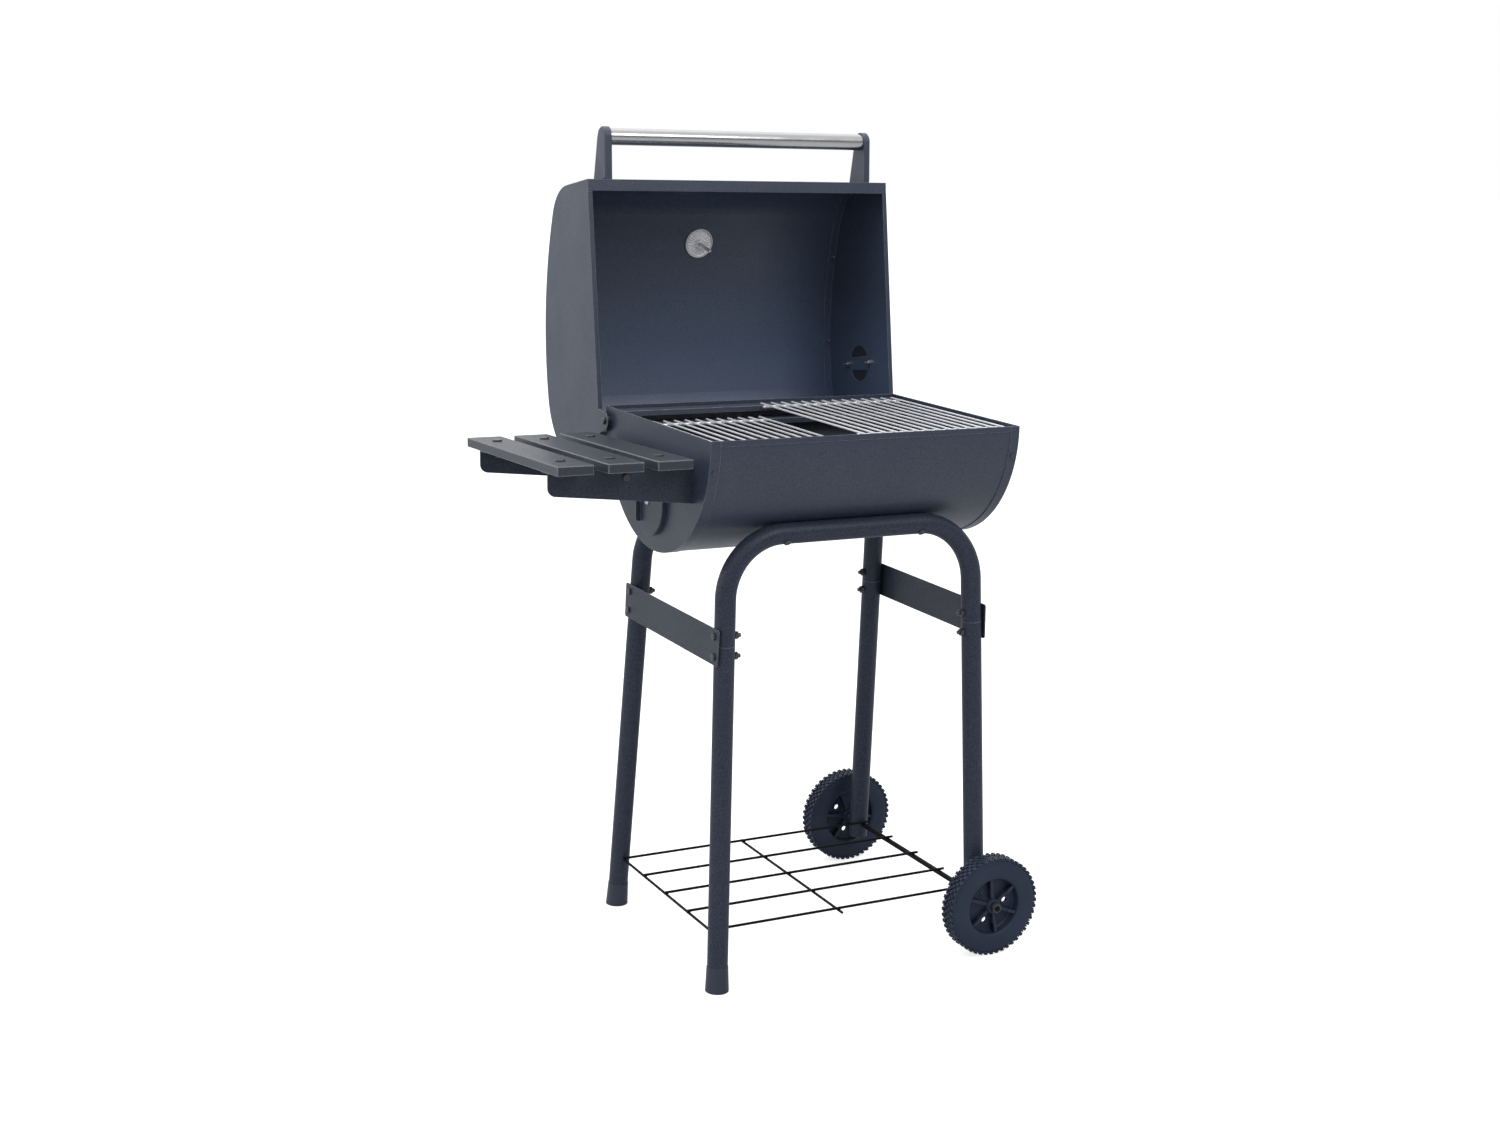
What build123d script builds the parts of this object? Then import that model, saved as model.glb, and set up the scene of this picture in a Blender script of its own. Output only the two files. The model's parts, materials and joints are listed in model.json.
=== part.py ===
"""Barrel charcoal grill on a wheeled tube stand, with its lid open.

X runs along the barrel: the side shelf is at -X and the wheels are at +X.
Y runs from front to back and Z is up. The origin is on the ground, below the middle of the firebox.
Every length is in millimetres. The lid is drawn closed and then turned open about its hinge.
"""
from build123d import *
import math
import os

os.makedirs("parts", exist_ok=True)

# Sheet metal and fasteners
SHEET = 1.0
RUNNING_GAP = 0.05
SEAT_GAP = 0.2
BOLT_RADIUS = 3.0
BOLT_HOLE = 3.2
BOLT_HEAD_RADIUS = 5.5
BOLT_HEAD_HEIGHT = 3.0
LOW_HEAD_HEIGHT = 1.8
NUT_FLATS = 10.0
NUT_HEIGHT = 5.0
SCREW_RADIUS = 2.0
SCREW_HEAD_RADIUS = 4.0
SCREW_HEAD_HEIGHT = 2.0

# Firebox: the lower half of the barrel
FIREBOX_LENGTH = 498.0
FIREBOX_RADIUS = 177.0
RIM_HEIGHT = 793.0
AXIS_HEIGHT = 786.0
HEM = 8.0
CAP_FLANGE = 14.0
CAP_HEM_INSET = 12.0
CAP_SCREW_ANGLES = (-78, 0, 78)
END_X = FIREBOX_LENGTH / 2

# Lid: an arched hood, measured when closed
LID_LENGTH = 514.4
LID_RIM_HEIGHT = RIM_HEIGHT + SEAT_GAP
LID_FRONT_Y = -192.0
LID_OPEN_ANGLE = 98.8
CROWN_RADIUS = 526.0
CROWN_Y = 84.0
CROWN_TOP = 202.0
CROWN_CENTRE = (CROWN_Y, LID_RIM_HEIGHT + CROWN_TOP - CROWN_RADIUS)
FRONT_CORNER_RADIUS = 66.0
BACK_RADIUS = 111.0
BACK_LEAN = 4.8
FRONT_LIP = 17.0
END_LIP = 7.0
LID_FLANGE = 12.0
LID_SCREW_LEANS = (-19.4, -3.8)
LID_SCREW_RISE = 62.0
LID_END_X = LID_LENGTH / 2

# Hinge
HINGE_Y = 166.0
HINGE_Z = 772.0
EAR_RADIUS = 13.0
EAR_FRONT_Y = 148.0
EAR_BACK_Y = 184.0
STOP_X = 170.0
STOP_Z = 752.0
STOP_REACH = 10.4

# Handle
HANDLE_REACH = 64.0
HANDLE_RISE = 9.0
HANDLE_RADIUS = 12.5
HANDLE_WALL = 1.2
HANDLE_HALF = 217.0
POST_THICKNESS = 11.0
POST_FOOT = 48.0
POST_TIP_RADIUS = 15.0
POST_RECESS = 4.0
POST_SCREW_RISES = (14.0, 34.0)

# Thermometer, measured along the lid's outward normal
GAUGE_Y = -112.0
GAUGE_RADIUS = 27.0
GAUGE_DEPTH = 14.0
GAUGE_WALL = 1.5
DIAL_LEVEL = 8.0
NEEDLE_LEVEL = 9.6
GLASS_LEVEL = 11.5
PROBE_LENGTH = 45.0
PROBE_RADIUS = 2.5
SLEEVE_RADIUS = 4.0
BACKPLATE_RADIUS = 24.0

# Lid vent, measured when closed
LID_VENT_Y = 91.4
LID_VENT_Z = 896.6
LID_VENT_RADIUS = 29.0
LID_VENT_BAR = 22.0
VENT_COVER_RADIUS = 31.0
VENT_SCREW_REACH = 34.0
VENT_SCREW_RADIUS = 2.5

# Firebox vent
DAMPER_Y = 8.0
DAMPER_Z = 680.0
DAMPER_RADIUS = 50.0
DAMPER_SLOT = (14.0, 40.0)
DAMPER_DEPTH = 7.0
DAMPER_BAR = 6.0
DAMPER_GRIP_Y = 24.0
DAMPER_GRIP_STAND = 7.0
DAMPER_GRIP_LENGTH = 34.0
RIVET_HEAD_RADIUS = 6.0
RIVET_TAIL_RADIUS = 5.0

# Cooking and charcoal grates
GRATE_BARS = 14
GRATE_PITCH = 17.9
BAR_RADIUS = 1.5
CROSS_RADIUS = 2.0
COAL_WIRE_RADIUS = 2.5
WELD_SINK = 0.4
UPPER_LEDGE = (787.4, 150.0)
LOWER_LEDGE = (768.5, 138.0)
LEDGE_LIP = 8.0
LEDGE_END_GAP = 9.0
GRATE_REST = 10.0
COAL_GRATE_Z = 675.3
COAL_GRATE_HALF = 134.0
COAL_BAR_PITCH = 24.0
COAL_BARS = 11
COAL_BAR_LENGTH = 470.0
COAL_CROSS_X = 200.0
LEFT_GRATE_X = -239.7
RIGHT_GRATE_X = 2.0
CROSS_INSET = 7.0

# Stand
TUBE_RADIUS = 15.0
TUBE_WALL = 1.1
LEG_FOOT_X = 218.8
LEG_FOOT_Y = 179.4
LEG_LEAN_X = 1.641
LEG_LEAN_Y = 3.87
BEND_RADIUS = 90.0
SEAM_HEIGHT = 498.0
NECK_LENGTH = 40.0
SHOULDER = 3.0
PLATE_HEIGHT = 52.0
PLATE_LENGTH = 318.0
PLATE_SHEET = 1.5
PLATE_BOLT_OFFSET = 14.5
FRAME_BOLT_X = 110.0
FOOT_FLOOR = 5.0
FOOT_HEIGHT = 36.0
FOOT_RADIUS = 17.4
FOOT_TOP_RADIUS = 15.7
WHEEL_LEG_END = 54.0

# Wheels, axle and bottom shelf
WHEEL_RADIUS = 76.0
WHEEL_WIDTH = 30.0
WHEEL_INNER_Y = 201.7
WHEEL_RECESS_RADIUS = 43.0
WHEEL_WEB = 8.0
HUB_RADIUS = 11.0
SPOKES = 6
SPOKE_THICKNESS = 8.0
SPACER_RADIUS = 8.0
AXLE_NUT_FLATS = 13.0
AXLE_NUT_HEIGHT = 6.0
AXLE_RADIUS = 4.0
WIRE_RADIUS = 2.0
WIRE_SPACING = 77.5
WIRE_OVERHANG = 7.0
MIDDLE_WIRE_X = -8.0

# Side shelf
SHELF_CENTRE_Y = 7.0
SHELF_SAG = 2.4
SLAT_TOP = 761.0
SLAT_WIDTH = 51.8
SLAT_PITCH = 72.0
SLAT_THICKNESS = 13.0
SLAT_LENGTH = 350.0
BRACKET_TOP = SLAT_TOP - SLAT_THICKNESS - RUNNING_GAP
FIRST_SLAT_X = -465.4
SLAT_BOLT_Y = 120.0
SLAT_BOLT_HEAD = 7.0
BRACKET_SHEET = 2.0
BRACKET_Y = 131.5
BRACKET_FLANGE = 22.0
BRACKET_OUTER_X = -462.0
BRACKET_INNER_DROP = 54.0
BRACKET_OUTER_DROP = 32.0
BRACKET_CORNER = 12.0
BRACKET_BOLT_DROPS = (12.0, 37.0)
WEB_BOLT_X = -349.0
WEB_BOLT_DROP = 12.0

SIDES = (-1, 1)
LOW = (Align.CENTER, Align.CENTER, Align.MIN)
MID = (Align.CENTER, Align.CENTER, Align.CENTER)
X_AXIS = (1, 0, 0)
Y_AXIS = (0, 1, 0)
Z_AXIS = (0, 0, 1)


# ---------------------------------------------------------------- helpers

def save(name, *solids):
    """Writes one node. Several solids make a group of separate pieces."""
    shape = solids[0] if len(solids) == 1 else Compound(children=list(solids))
    export_step(shape, f"parts/{name}.step")


def rod(radius, length, base, axis):
    """A solid cylinder that starts at base and runs along axis."""
    return Plane(origin=base, z_dir=axis) * Cylinder(radius, length, align=LOW)


def ring(outer, inner, length, base, axis):
    """A hollow cylinder that starts at base and runs along axis."""
    return rod(outer, length, base, axis) - rod(inner, length, base, axis)


def block(x_range, y_range, z_range):
    """A box between two values on each axis, given in any order."""
    spans = [sorted(r) for r in (x_range, y_range, z_range)]
    sizes = [high - low for low, high in spans]
    centre = [(high + low) / 2 for low, high in spans]
    return Pos(*centre) * Box(*sizes, align=MID)


def along(base, axis, distance):
    """The point at a distance from base along axis."""
    step = Vector(*axis).normalized() * distance
    return tuple(Vector(*base) + step)


def bolt(seat, axis, length, radius=BOLT_RADIUS, head=BOLT_HEAD_RADIUS, height=BOLT_HEAD_HEIGHT):
    """A round-headed bolt: its head stands behind seat and its shank runs along axis."""
    back = tuple(-v for v in axis)
    dome = fillet(rod(head, height, seat, back).faces().sort_by(Axis(seat, back))[-1].edges(), height * 0.6)
    return dome + rod(radius, length, seat, axis)


def nut(seat, axis, hole=BOLT_RADIUS, flats=NUT_FLATS, height=NUT_HEIGHT):
    """A hexagon nut that starts at seat and runs along axis, clear of its bolt."""
    outline = RegularPolygon(flats / 2, 6, major_radius=False) - Circle(hole + RUNNING_GAP)
    return extrude(Plane(origin=seat, z_dir=axis) * outline, height)


def prism_x(face, x_start, x_end):
    """A face drawn in Y and Z, extruded between two values of X."""
    low, high = sorted((x_start, x_end))
    return extrude(Plane.YZ.offset(low) * face, high - low)


# ---------------------------------------------------------------- firebox

def barrel(radius, x_start, x_end):
    """The part of a cylinder along the barrel's axis that lies below the rim."""
    low, high = sorted((x_start, x_end))
    whole = rod(radius, high - low, (low, 0, AXIS_HEIGHT), X_AXIS)
    above = block((low - 1, high + 1), (-radius - 1, radius + 1), (RIM_HEIGHT, RIM_HEIGHT + 2 * radius))
    return whole - above


def barrel_band(outer, inner, x_start, x_end):
    """A curved sheet between two radii about the barrel's axis."""
    return barrel(outer, x_start, x_end) - barrel(inner, x_start, x_end)


def frame_bar_centre(side):
    """Y and Z of a top bar's centre, where the bar touches the firebox."""
    reach = FIREBOX_RADIUS + TUBE_RADIUS + RUNNING_GAP
    lean = math.tan(math.radians(LEG_LEAN_Y))
    height = AXIS_HEIGHT - reach
    for _ in range(40):
        y = LEG_FOOT_Y - lean * height
        height = AXIS_HEIGHT - math.sqrt(reach ** 2 - y ** 2)
    return side * y, height


def frame_bolt_lines():
    """Start point and direction of each bolt from a top bar up into the firebox."""
    lines = []
    for side in SIDES:
        y, z = frame_bar_centre(side)
        axis = Vector(0, -y, AXIS_HEIGHT - z).normalized()
        for x in (-FRAME_BOLT_X, FRAME_BOLT_X):
            seat = along((x, y, z), tuple(axis), -TUBE_RADIUS - RUNNING_GAP)
            lines.append((seat, tuple(axis)))
    return lines


def cap_screw_lines():
    """Seat and inward direction of each screw through an end cap's flange."""
    lines = []
    for side in SIDES:
        for angle in CAP_SCREW_ANGLES:
            turn = math.radians(angle)
            outward = (0, math.sin(turn), -math.cos(turn))
            seat = along((side * (END_X - SHEET - CAP_FLANGE / 2), 0, AXIS_HEIGHT), outward,
                         FIREBOX_RADIUS + SHEET + RUNNING_GAP)
            lines.append((seat, tuple(-v for v in outward)))
    return lines


def screw_holes(lines, radius, length):
    """One cylinder for each line, to cut holes with."""
    return [rod(radius, length, along(seat, axis, -length / 2), axis) for seat, axis in lines]


def firebox_shell():
    end = END_X - SHEET
    shell = barrel_band(FIREBOX_RADIUS, FIREBOX_RADIUS - SHEET, -end, end)
    hem = barrel_band(FIREBOX_RADIUS + SHEET, FIREBOX_RADIUS, -end + CAP_FLANGE, end - CAP_FLANGE)
    shell += hem & block((-end, end), (-300, 300), (RIM_HEIGHT - HEM, RIM_HEIGHT))
    for hole in screw_holes(cap_screw_lines(), SCREW_RADIUS + 0.1, 12):
        shell -= hole
    for seat, axis in frame_bolt_lines():
        shell -= rod(BOLT_HOLE, 4 * TUBE_RADIUS, seat, axis)
    for side in SIDES:
        shell -= rod(BOLT_HOLE, 40, (side * STOP_X, FIREBOX_RADIUS - 30, STOP_Z), Y_AXIS)
    return shell


def half_moon(x_start, x_end, grow=0.0):
    """The upper half of a ring about the firebox vent's centre."""
    inner, outer = DAMPER_SLOT
    low, high = sorted((x_start, x_end))
    centre = (low, DAMPER_Y, DAMPER_Z)
    whole = ring(outer + grow, inner - grow, high - low, centre, X_AXIS)
    return whole & block((low, high), (-200, 200), (DAMPER_Z + DAMPER_BAR - grow, DAMPER_Z + 100))


def firebox_end(side):
    """A pan-shaped end cap whose flange wraps the shell."""
    outer = side * END_X
    inner = side * (END_X - SHEET)
    deep = side * (END_X - SHEET - CAP_FLANGE)
    cap = barrel(FIREBOX_RADIUS + SHEET, outer, inner)
    cap += barrel_band(FIREBOX_RADIUS + SHEET, FIREBOX_RADIUS, inner, deep)
    hem_y = FIREBOX_RADIUS - CAP_HEM_INSET
    cap += block((inner, inner - side * SHEET), (-hem_y, hem_y), (RIM_HEIGHT - HEM, RIM_HEIGHT))
    for hole in screw_holes(cap_screw_lines(), SCREW_RADIUS + 0.1, 12):
        cap -= hole
    cap -= rod(BOLT_HOLE, 20, (outer - 10, HINGE_Y, HINGE_Z), X_AXIS)
    if side < 0:
        cap -= half_moon(outer - 5, inner + 5)
        cap -= rod(BOLT_RADIUS + RUNNING_GAP, 20, (outer - 10, DAMPER_Y, DAMPER_Z), X_AXIS)
        for y, z in bracket_bolt_places():
            cap -= shelf_pose(rod(BOLT_HOLE, 20, (outer - 10, y, z), X_AXIS))
    return cap


def cap_screws():
    return [bolt(seat, axis, 8, SCREW_RADIUS, SCREW_HEAD_RADIUS, SCREW_HEAD_HEIGHT)
            for seat, axis in cap_screw_lines()]


def damper():
    """A shallow round pan with a half-moon opening and a folded grip."""
    near = -END_X - SEAT_GAP
    far = near - DAMPER_DEPTH
    pan = rod(DAMPER_RADIUS, DAMPER_DEPTH, (far, DAMPER_Y, DAMPER_Z), X_AXIS)
    pan = fillet(pan.edges().filter_by(GeomType.CIRCLE).sort_by(Axis.X)[0], 1.5)
    pan -= rod(DAMPER_RADIUS - SHEET, DAMPER_DEPTH, (far + SHEET, DAMPER_Y, DAMPER_Z), X_AXIS)
    pan -= half_moon(far - 1, near, -2.0)
    pan -= rod(BOLT_RADIUS + RUNNING_GAP, 10, (far - 5, DAMPER_Y, DAMPER_Z), X_AXIS)
    y = DAMPER_Y + DAMPER_GRIP_Y
    grip = block((far - DAMPER_GRIP_STAND, far), (y, y + 1.2), (DAMPER_Z - DAMPER_GRIP_LENGTH, DAMPER_Z))
    grip = fillet(grip.edges().filter_by(Axis.Y).group_by(Axis.X)[0], 3)
    return pan + grip


def damper_rivet():
    """A rivet through the pan and the end cap, spread behind the cap."""
    seat_x = -END_X - DAMPER_DEPTH - 2 * SEAT_GAP
    length = DAMPER_DEPTH + 4
    rivet = bolt((seat_x, DAMPER_Y, DAMPER_Z), X_AXIS, length, BOLT_RADIUS, RIVET_HEAD_RADIUS, 2.5)
    tail_x = -END_X + SHEET + RUNNING_GAP
    return rivet + rod(RIVET_TAIL_RADIUS, 1.5, (tail_x, DAMPER_Y, DAMPER_Z), X_AXIS)


# ---------------------------------------------------------------- ledges and grates

def ledge(side, top, inner_y):
    """An angle strip along a long wall, with its lip turned down."""
    wall = FIREBOX_RADIUS
    end = END_X - LEDGE_END_GAP
    strip = block((-end, end), (side * inner_y, side * wall), (top - SHEET, top))
    strip += block((-end, end), (side * inner_y, side * (inner_y + SHEET)), (top - LEDGE_LIP, top))
    return strip & barrel(FIREBOX_RADIUS - SHEET, -END_X, END_X)


def grate_ledges():
    return [ledge(side, *place) for side in SIDES for place in (UPPER_LEDGE, LOWER_LEDGE)]


def cooking_grate(first_x, ledge_top, ledge_y):
    """Bars that run front to back over two cross wires, resting on a pair of ledges."""
    z = ledge_top + BAR_RADIUS + SEAT_GAP
    half = ledge_y + GRATE_REST
    cross_z = z - BAR_RADIUS - CROSS_RADIUS + WELD_SINK
    cross_y = ledge_y - CROSS_INSET
    length = (GRATE_BARS - 1) * GRATE_PITCH
    grate = rod(CROSS_RADIUS, length + 10, (first_x - 5, -cross_y, cross_z), X_AXIS)
    grate += rod(CROSS_RADIUS, length + 10, (first_x - 5, cross_y, cross_z), X_AXIS)
    for i in range(GRATE_BARS):
        grate += rod(BAR_RADIUS, 2 * half, (first_x + i * GRATE_PITCH, -half, z), Y_AXIS)
    return grate


def charcoal_grate():
    """Long bars over three cross rods whose ends sit on the firebox's curved wall."""
    bar_z = COAL_GRATE_Z + 2 * COAL_WIRE_RADIUS - WELD_SINK
    first_y = -(COAL_BARS - 1) / 2 * COAL_BAR_PITCH
    grate = rod(COAL_WIRE_RADIUS, 2 * COAL_GRATE_HALF, (0, -COAL_GRATE_HALF, COAL_GRATE_Z), Y_AXIS)
    for x in (-COAL_CROSS_X, COAL_CROSS_X):
        grate += rod(COAL_WIRE_RADIUS, 2 * COAL_GRATE_HALF, (x, -COAL_GRATE_HALF, COAL_GRATE_Z), Y_AXIS)
    for i in range(COAL_BARS):
        start = (-COAL_BAR_LENGTH / 2, first_y + i * COAL_BAR_PITCH, bar_z)
        grate += rod(COAL_WIRE_RADIUS, COAL_BAR_LENGTH, start, X_AXIS)
    return grate


# ---------------------------------------------------------------- lid

def opened(shape):
    """Turns a closed lid piece about the hinge to the open pose."""
    return shape.rotate(Axis((0, HINGE_Y, HINGE_Z), X_AXIS), -LID_OPEN_ANGLE)


def on_arc(centre, radius, lean):
    """The point on an arc whose outward normal leans back by an angle from the vertical."""
    turn = math.radians(lean)
    return centre[0] + radius * math.sin(turn), centre[1] + radius * math.cos(turn)


def corner_centre():
    """Centre of the rounded corner between the front wall and the crown."""
    y = LID_FRONT_Y + FRONT_CORNER_RADIUS
    reach = CROWN_RADIUS - FRONT_CORNER_RADIUS
    return y, CROWN_CENTRE[1] + math.sqrt(reach ** 2 - (y - CROWN_Y) ** 2)


def lid_section(inset):
    """The closed lid's side outline, at a distance inside its outer skin."""
    corner = corner_centre()
    back = on_arc(CROWN_CENTRE, CROWN_RADIUS - BACK_RADIUS, BACK_LEAN)
    crown_r = CROWN_RADIUS - inset
    corner_r = FRONT_CORNER_RADIUS - inset
    back_r = BACK_RADIUS - inset
    corner_lean = -math.degrees(math.atan2(CROWN_Y - corner[0], corner[1] - CROWN_CENTRE[1]))
    rim_lean = 90 + math.degrees(math.asin((back[1] - LID_RIM_HEIGHT) / back_r))
    front = LID_FRONT_Y + inset
    rim_back = on_arc(back, back_r, rim_lean)
    crown_back = on_arc(CROWN_CENTRE, crown_r, BACK_LEAN)
    crown_front = on_arc(CROWN_CENTRE, crown_r, corner_lean)
    back_mid = on_arc(back, back_r, (rim_lean + BACK_LEAN) / 2)
    crown_mid = on_arc(CROWN_CENTRE, crown_r, (BACK_LEAN + corner_lean) / 2)
    corner_mid = on_arc(corner, corner_r, (corner_lean - 90) / 2)
    outline = [
        ThreePointArc(rim_back, back_mid, crown_back),
        ThreePointArc(crown_back, crown_mid, crown_front),
        ThreePointArc(crown_front, corner_mid, (front, corner[1])),
        Line((front, corner[1]), (front, LID_RIM_HEIGHT)),
        Line((front, LID_RIM_HEIGHT), rim_back),
    ]
    return make_face(Wire(outline))


def lid_screw_lines():
    """Seat and inward direction of each screw that holds an end to the lid's shell."""
    lines = []
    for side in SIDES:
        x = side * (LID_END_X - SHEET - LID_FLANGE / 2)
        for lean in LID_SCREW_LEANS:
            y, z = on_arc(CROWN_CENTRE, CROWN_RADIUS + RUNNING_GAP, lean)
            turn = math.radians(lean)
            lines.append(((x, y, z), (0, -math.sin(turn), -math.cos(turn))))
        lines.append(((x, LID_FRONT_Y - RUNNING_GAP, LID_RIM_HEIGHT + LID_SCREW_RISE), Y_AXIS))
    return lines


def gauge_plane():
    """A plane on the lid's crown, with its normal pointing out along the gauge."""
    sine = (GAUGE_Y - CROWN_Y) / CROWN_RADIUS
    z = CROWN_CENTRE[1] + math.sqrt(CROWN_RADIUS ** 2 - (GAUGE_Y - CROWN_Y) ** 2)
    return Plane(origin=(0, GAUGE_Y, z), x_dir=X_AXIS, z_dir=(0, sine, math.sqrt(1 - sine ** 2)))


def post_screw_places():
    """X and Z of each screw from inside the lid into a handle post."""
    middle = HANDLE_HALF + POST_THICKNESS / 2
    return [(side * middle, LID_RIM_HEIGHT + rise) for side in SIDES for rise in POST_SCREW_RISES]


def lid_shell():
    end = LID_END_X - SHEET
    shell = prism_x(lid_section(0), -end, end) - prism_x(lid_section(SHEET), -end, end)
    lip_y = LID_FRONT_Y + FRONT_LIP
    shell += block((-end, end), (LID_FRONT_Y, lip_y), (LID_RIM_HEIGHT, LID_RIM_HEIGHT + SHEET))
    for hole in screw_holes(lid_screw_lines(), SCREW_RADIUS + 0.1, 12):
        shell -= hole
    for x, z in post_screw_places():
        shell -= rod(BOLT_RADIUS, 10, (x, LID_FRONT_Y - 5, z), Y_AXIS)
    shell -= gauge_plane() * Cylinder(SLEEVE_RADIUS + RUNNING_GAP, 20)
    return shell


def lid_ear(side):
    """The tab on a lid end that reaches down to the hinge bolt."""
    foot = LID_RIM_HEIGHT + 1
    round_end = Pos(HINGE_Y, HINGE_Z) * Circle(EAR_RADIUS)
    corners = [(EAR_FRONT_Y, foot), (HINGE_Y - EAR_RADIUS, HINGE_Z), (HINGE_Y + EAR_RADIUS, HINGE_Z),
               (EAR_BACK_Y, foot)]
    face = make_face(Polyline(*corners, close=True)) + round_end
    return prism_x(face, side * (LID_END_X - SHEET), side * LID_END_X)


def lid_end(side):
    """A flat end with a flange inside the shell, an inward lip and a hinge ear."""
    outer = side * LID_END_X
    inner = side * (LID_END_X - SHEET)
    deep = inner - side * LID_FLANGE
    flange = prism_x(lid_section(SHEET), inner, deep) - prism_x(lid_section(2 * SHEET), inner, deep)
    low_part = block((inner, deep), (-300, 300), (LID_RIM_HEIGHT - 1, LID_RIM_HEIGHT + 4))
    end = prism_x(lid_section(0), outer, inner) + (flange - low_part) + lid_ear(side)
    lip_front = LID_FRONT_Y + FRONT_LIP + 1
    end += block((outer, outer - side * END_LIP), (lip_front, EAR_FRONT_Y),
                 (LID_RIM_HEIGHT, LID_RIM_HEIGHT + SHEET))
    end -= rod(BOLT_RADIUS + RUNNING_GAP, 20, (outer - 10, HINGE_Y, HINGE_Z), X_AXIS)
    for hole in screw_holes(lid_screw_lines(), SCREW_RADIUS + 0.1, 12):
        end -= hole
    if side > 0:
        end -= vent_openings(outer)
        for rise in (-VENT_SCREW_REACH, VENT_SCREW_REACH):
            end -= rod(VENT_SCREW_RADIUS + 0.1, 20, (outer - 10, LID_VENT_Y, LID_VENT_Z + rise), X_AXIS)
    return end


def vent_openings(x):
    """Two half-moon cuts beside an upright bar."""
    cut = rod(LID_VENT_RADIUS, 20, (x - 10, LID_VENT_Y, LID_VENT_Z), X_AXIS)
    bar_y = (LID_VENT_Y - LID_VENT_BAR / 2, LID_VENT_Y + LID_VENT_BAR / 2)
    return cut - block((x - 10, x + 10), bar_y, (LID_VENT_Z - 50, LID_VENT_Z + 50))


def lid_screws():
    return [bolt(seat, axis, 9, SCREW_RADIUS, SCREW_HEAD_RADIUS, SCREW_HEAD_HEIGHT)
            for seat, axis in lid_screw_lines()]


def handle_centre():
    return LID_FRONT_Y - HANDLE_REACH, LID_RIM_HEIGHT + HANDLE_RISE


def handle_post(side):
    """A flat bracket that tapers from the lid's front wall to a round tip."""
    y, z = handle_centre()
    tip = Pos(y, z) * Circle(POST_TIP_RADIUS)
    rise = math.degrees(math.atan2(LID_RIM_HEIGHT + POST_FOOT - z - POST_TIP_RADIUS, HANDLE_REACH))
    upper = (y - POST_TIP_RADIUS * math.sin(math.radians(rise)), z + POST_TIP_RADIUS)
    corners = [(LID_FRONT_Y, LID_RIM_HEIGHT), (y, z - POST_TIP_RADIUS), upper,
               (LID_FRONT_Y, LID_RIM_HEIGHT + POST_FOOT)]
    face = make_face(Polyline(*corners, close=True)) + tip
    near, far = side * HANDLE_HALF, side * (HANDLE_HALF + POST_THICKNESS)
    post = prism_x(face, near, far)
    rim = post.faces().sort_by(Axis.X)[-1 if side > 0 else 0].edges()
    post = chamfer(rim, 2.0)
    post -= rod(HANDLE_RADIUS + RUNNING_GAP, 2 * POST_RECESS, (near - POST_RECESS, y, z), X_AXIS)
    for x, screw_z in post_screw_places():
        post -= rod(BOLT_RADIUS - 0.5 + RUNNING_GAP, 20, (x, LID_FRONT_Y - 16, screw_z), Y_AXIS)
    return post


def handle_tube():
    y, z = handle_centre()
    half = HANDLE_HALF + POST_RECESS - RUNNING_GAP
    return ring(HANDLE_RADIUS, HANDLE_RADIUS - HANDLE_WALL, 2 * half, (-half, y, z), X_AXIS)


def handle_screws():
    seat_y = LID_FRONT_Y + SHEET + RUNNING_GAP
    return [bolt((x, seat_y, z), (0, -1, 0), 15, BOLT_RADIUS - 0.5, 5.0, 2.6)
            for x, z in post_screw_places()]


def gauge_disc(radius, thickness, level):
    """A disc across the gauge's axis, at a level above the lid's skin."""
    return gauge_plane() * Pos(0, 0, level) * Cylinder(radius, thickness, align=LOW)


def thermometer_case():
    case = gauge_disc(GAUGE_RADIUS, GAUGE_DEPTH, RUNNING_GAP)
    case -= gauge_disc(GAUGE_RADIUS - GAUGE_WALL, GAUGE_DEPTH, GAUGE_WALL)
    case += gauge_disc(GAUGE_RADIUS, 1, GAUGE_DEPTH) - gauge_disc(GAUGE_RADIUS - 3, 1, GAUGE_DEPTH)
    case -= gauge_disc(SLEEVE_RADIUS + RUNNING_GAP, GAUGE_DEPTH, -1)
    return case


def thermometer_dial():
    return gauge_disc(GAUGE_RADIUS - GAUGE_WALL - 0.2, 0.6, DIAL_LEVEL) - gauge_disc(1.6, 2, DIAL_LEVEL - 1)


def thermometer_glass():
    return gauge_disc(GAUGE_RADIUS - GAUGE_WALL - 0.2, 1.3, GLASS_LEVEL)


def thermometer_needle():
    """A pointer on a round boss, turned towards the cold end of the dial."""
    pointer = make_face(Polyline((-1.6, -6), (1.6, -6), (0.4, 19), (-0.4, 19), close=True))
    blade = gauge_plane() * Pos(0, 0, NEEDLE_LEVEL) * Rot(0, 0, 130) * extrude(pointer, 0.5)
    return blade + gauge_disc(2.6, 0.9, NEEDLE_LEVEL)


def thermometer_stem():
    """The threaded sleeve, the probe inside the lid and the spindle below the needle."""
    stem = gauge_disc(PROBE_RADIUS, PROBE_LENGTH, -PROBE_LENGTH)
    stem += gauge_disc(SLEEVE_RADIUS, 12, -9)
    stem += gauge_disc(1.5, NEEDLE_LEVEL - RUNNING_GAP * 2, 0)
    return stem


def thermometer_backplate():
    """A dished washer against the inside of the lid, with its nut."""
    level = -SHEET - 0.7
    plate = gauge_disc(BACKPLATE_RADIUS, SHEET, level - SHEET)
    plate += gauge_disc(BACKPLATE_RADIUS, 3, level - 3) - gauge_disc(BACKPLATE_RADIUS - 1.5, 3, level - 3)
    nut_face = RegularPolygon(6.5, 6, major_radius=False)
    plate += gauge_plane() * Pos(0, 0, level - 5.5) * extrude(nut_face, 5)
    return plate - gauge_disc(SLEEVE_RADIUS + RUNNING_GAP, 20, -15)


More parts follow.
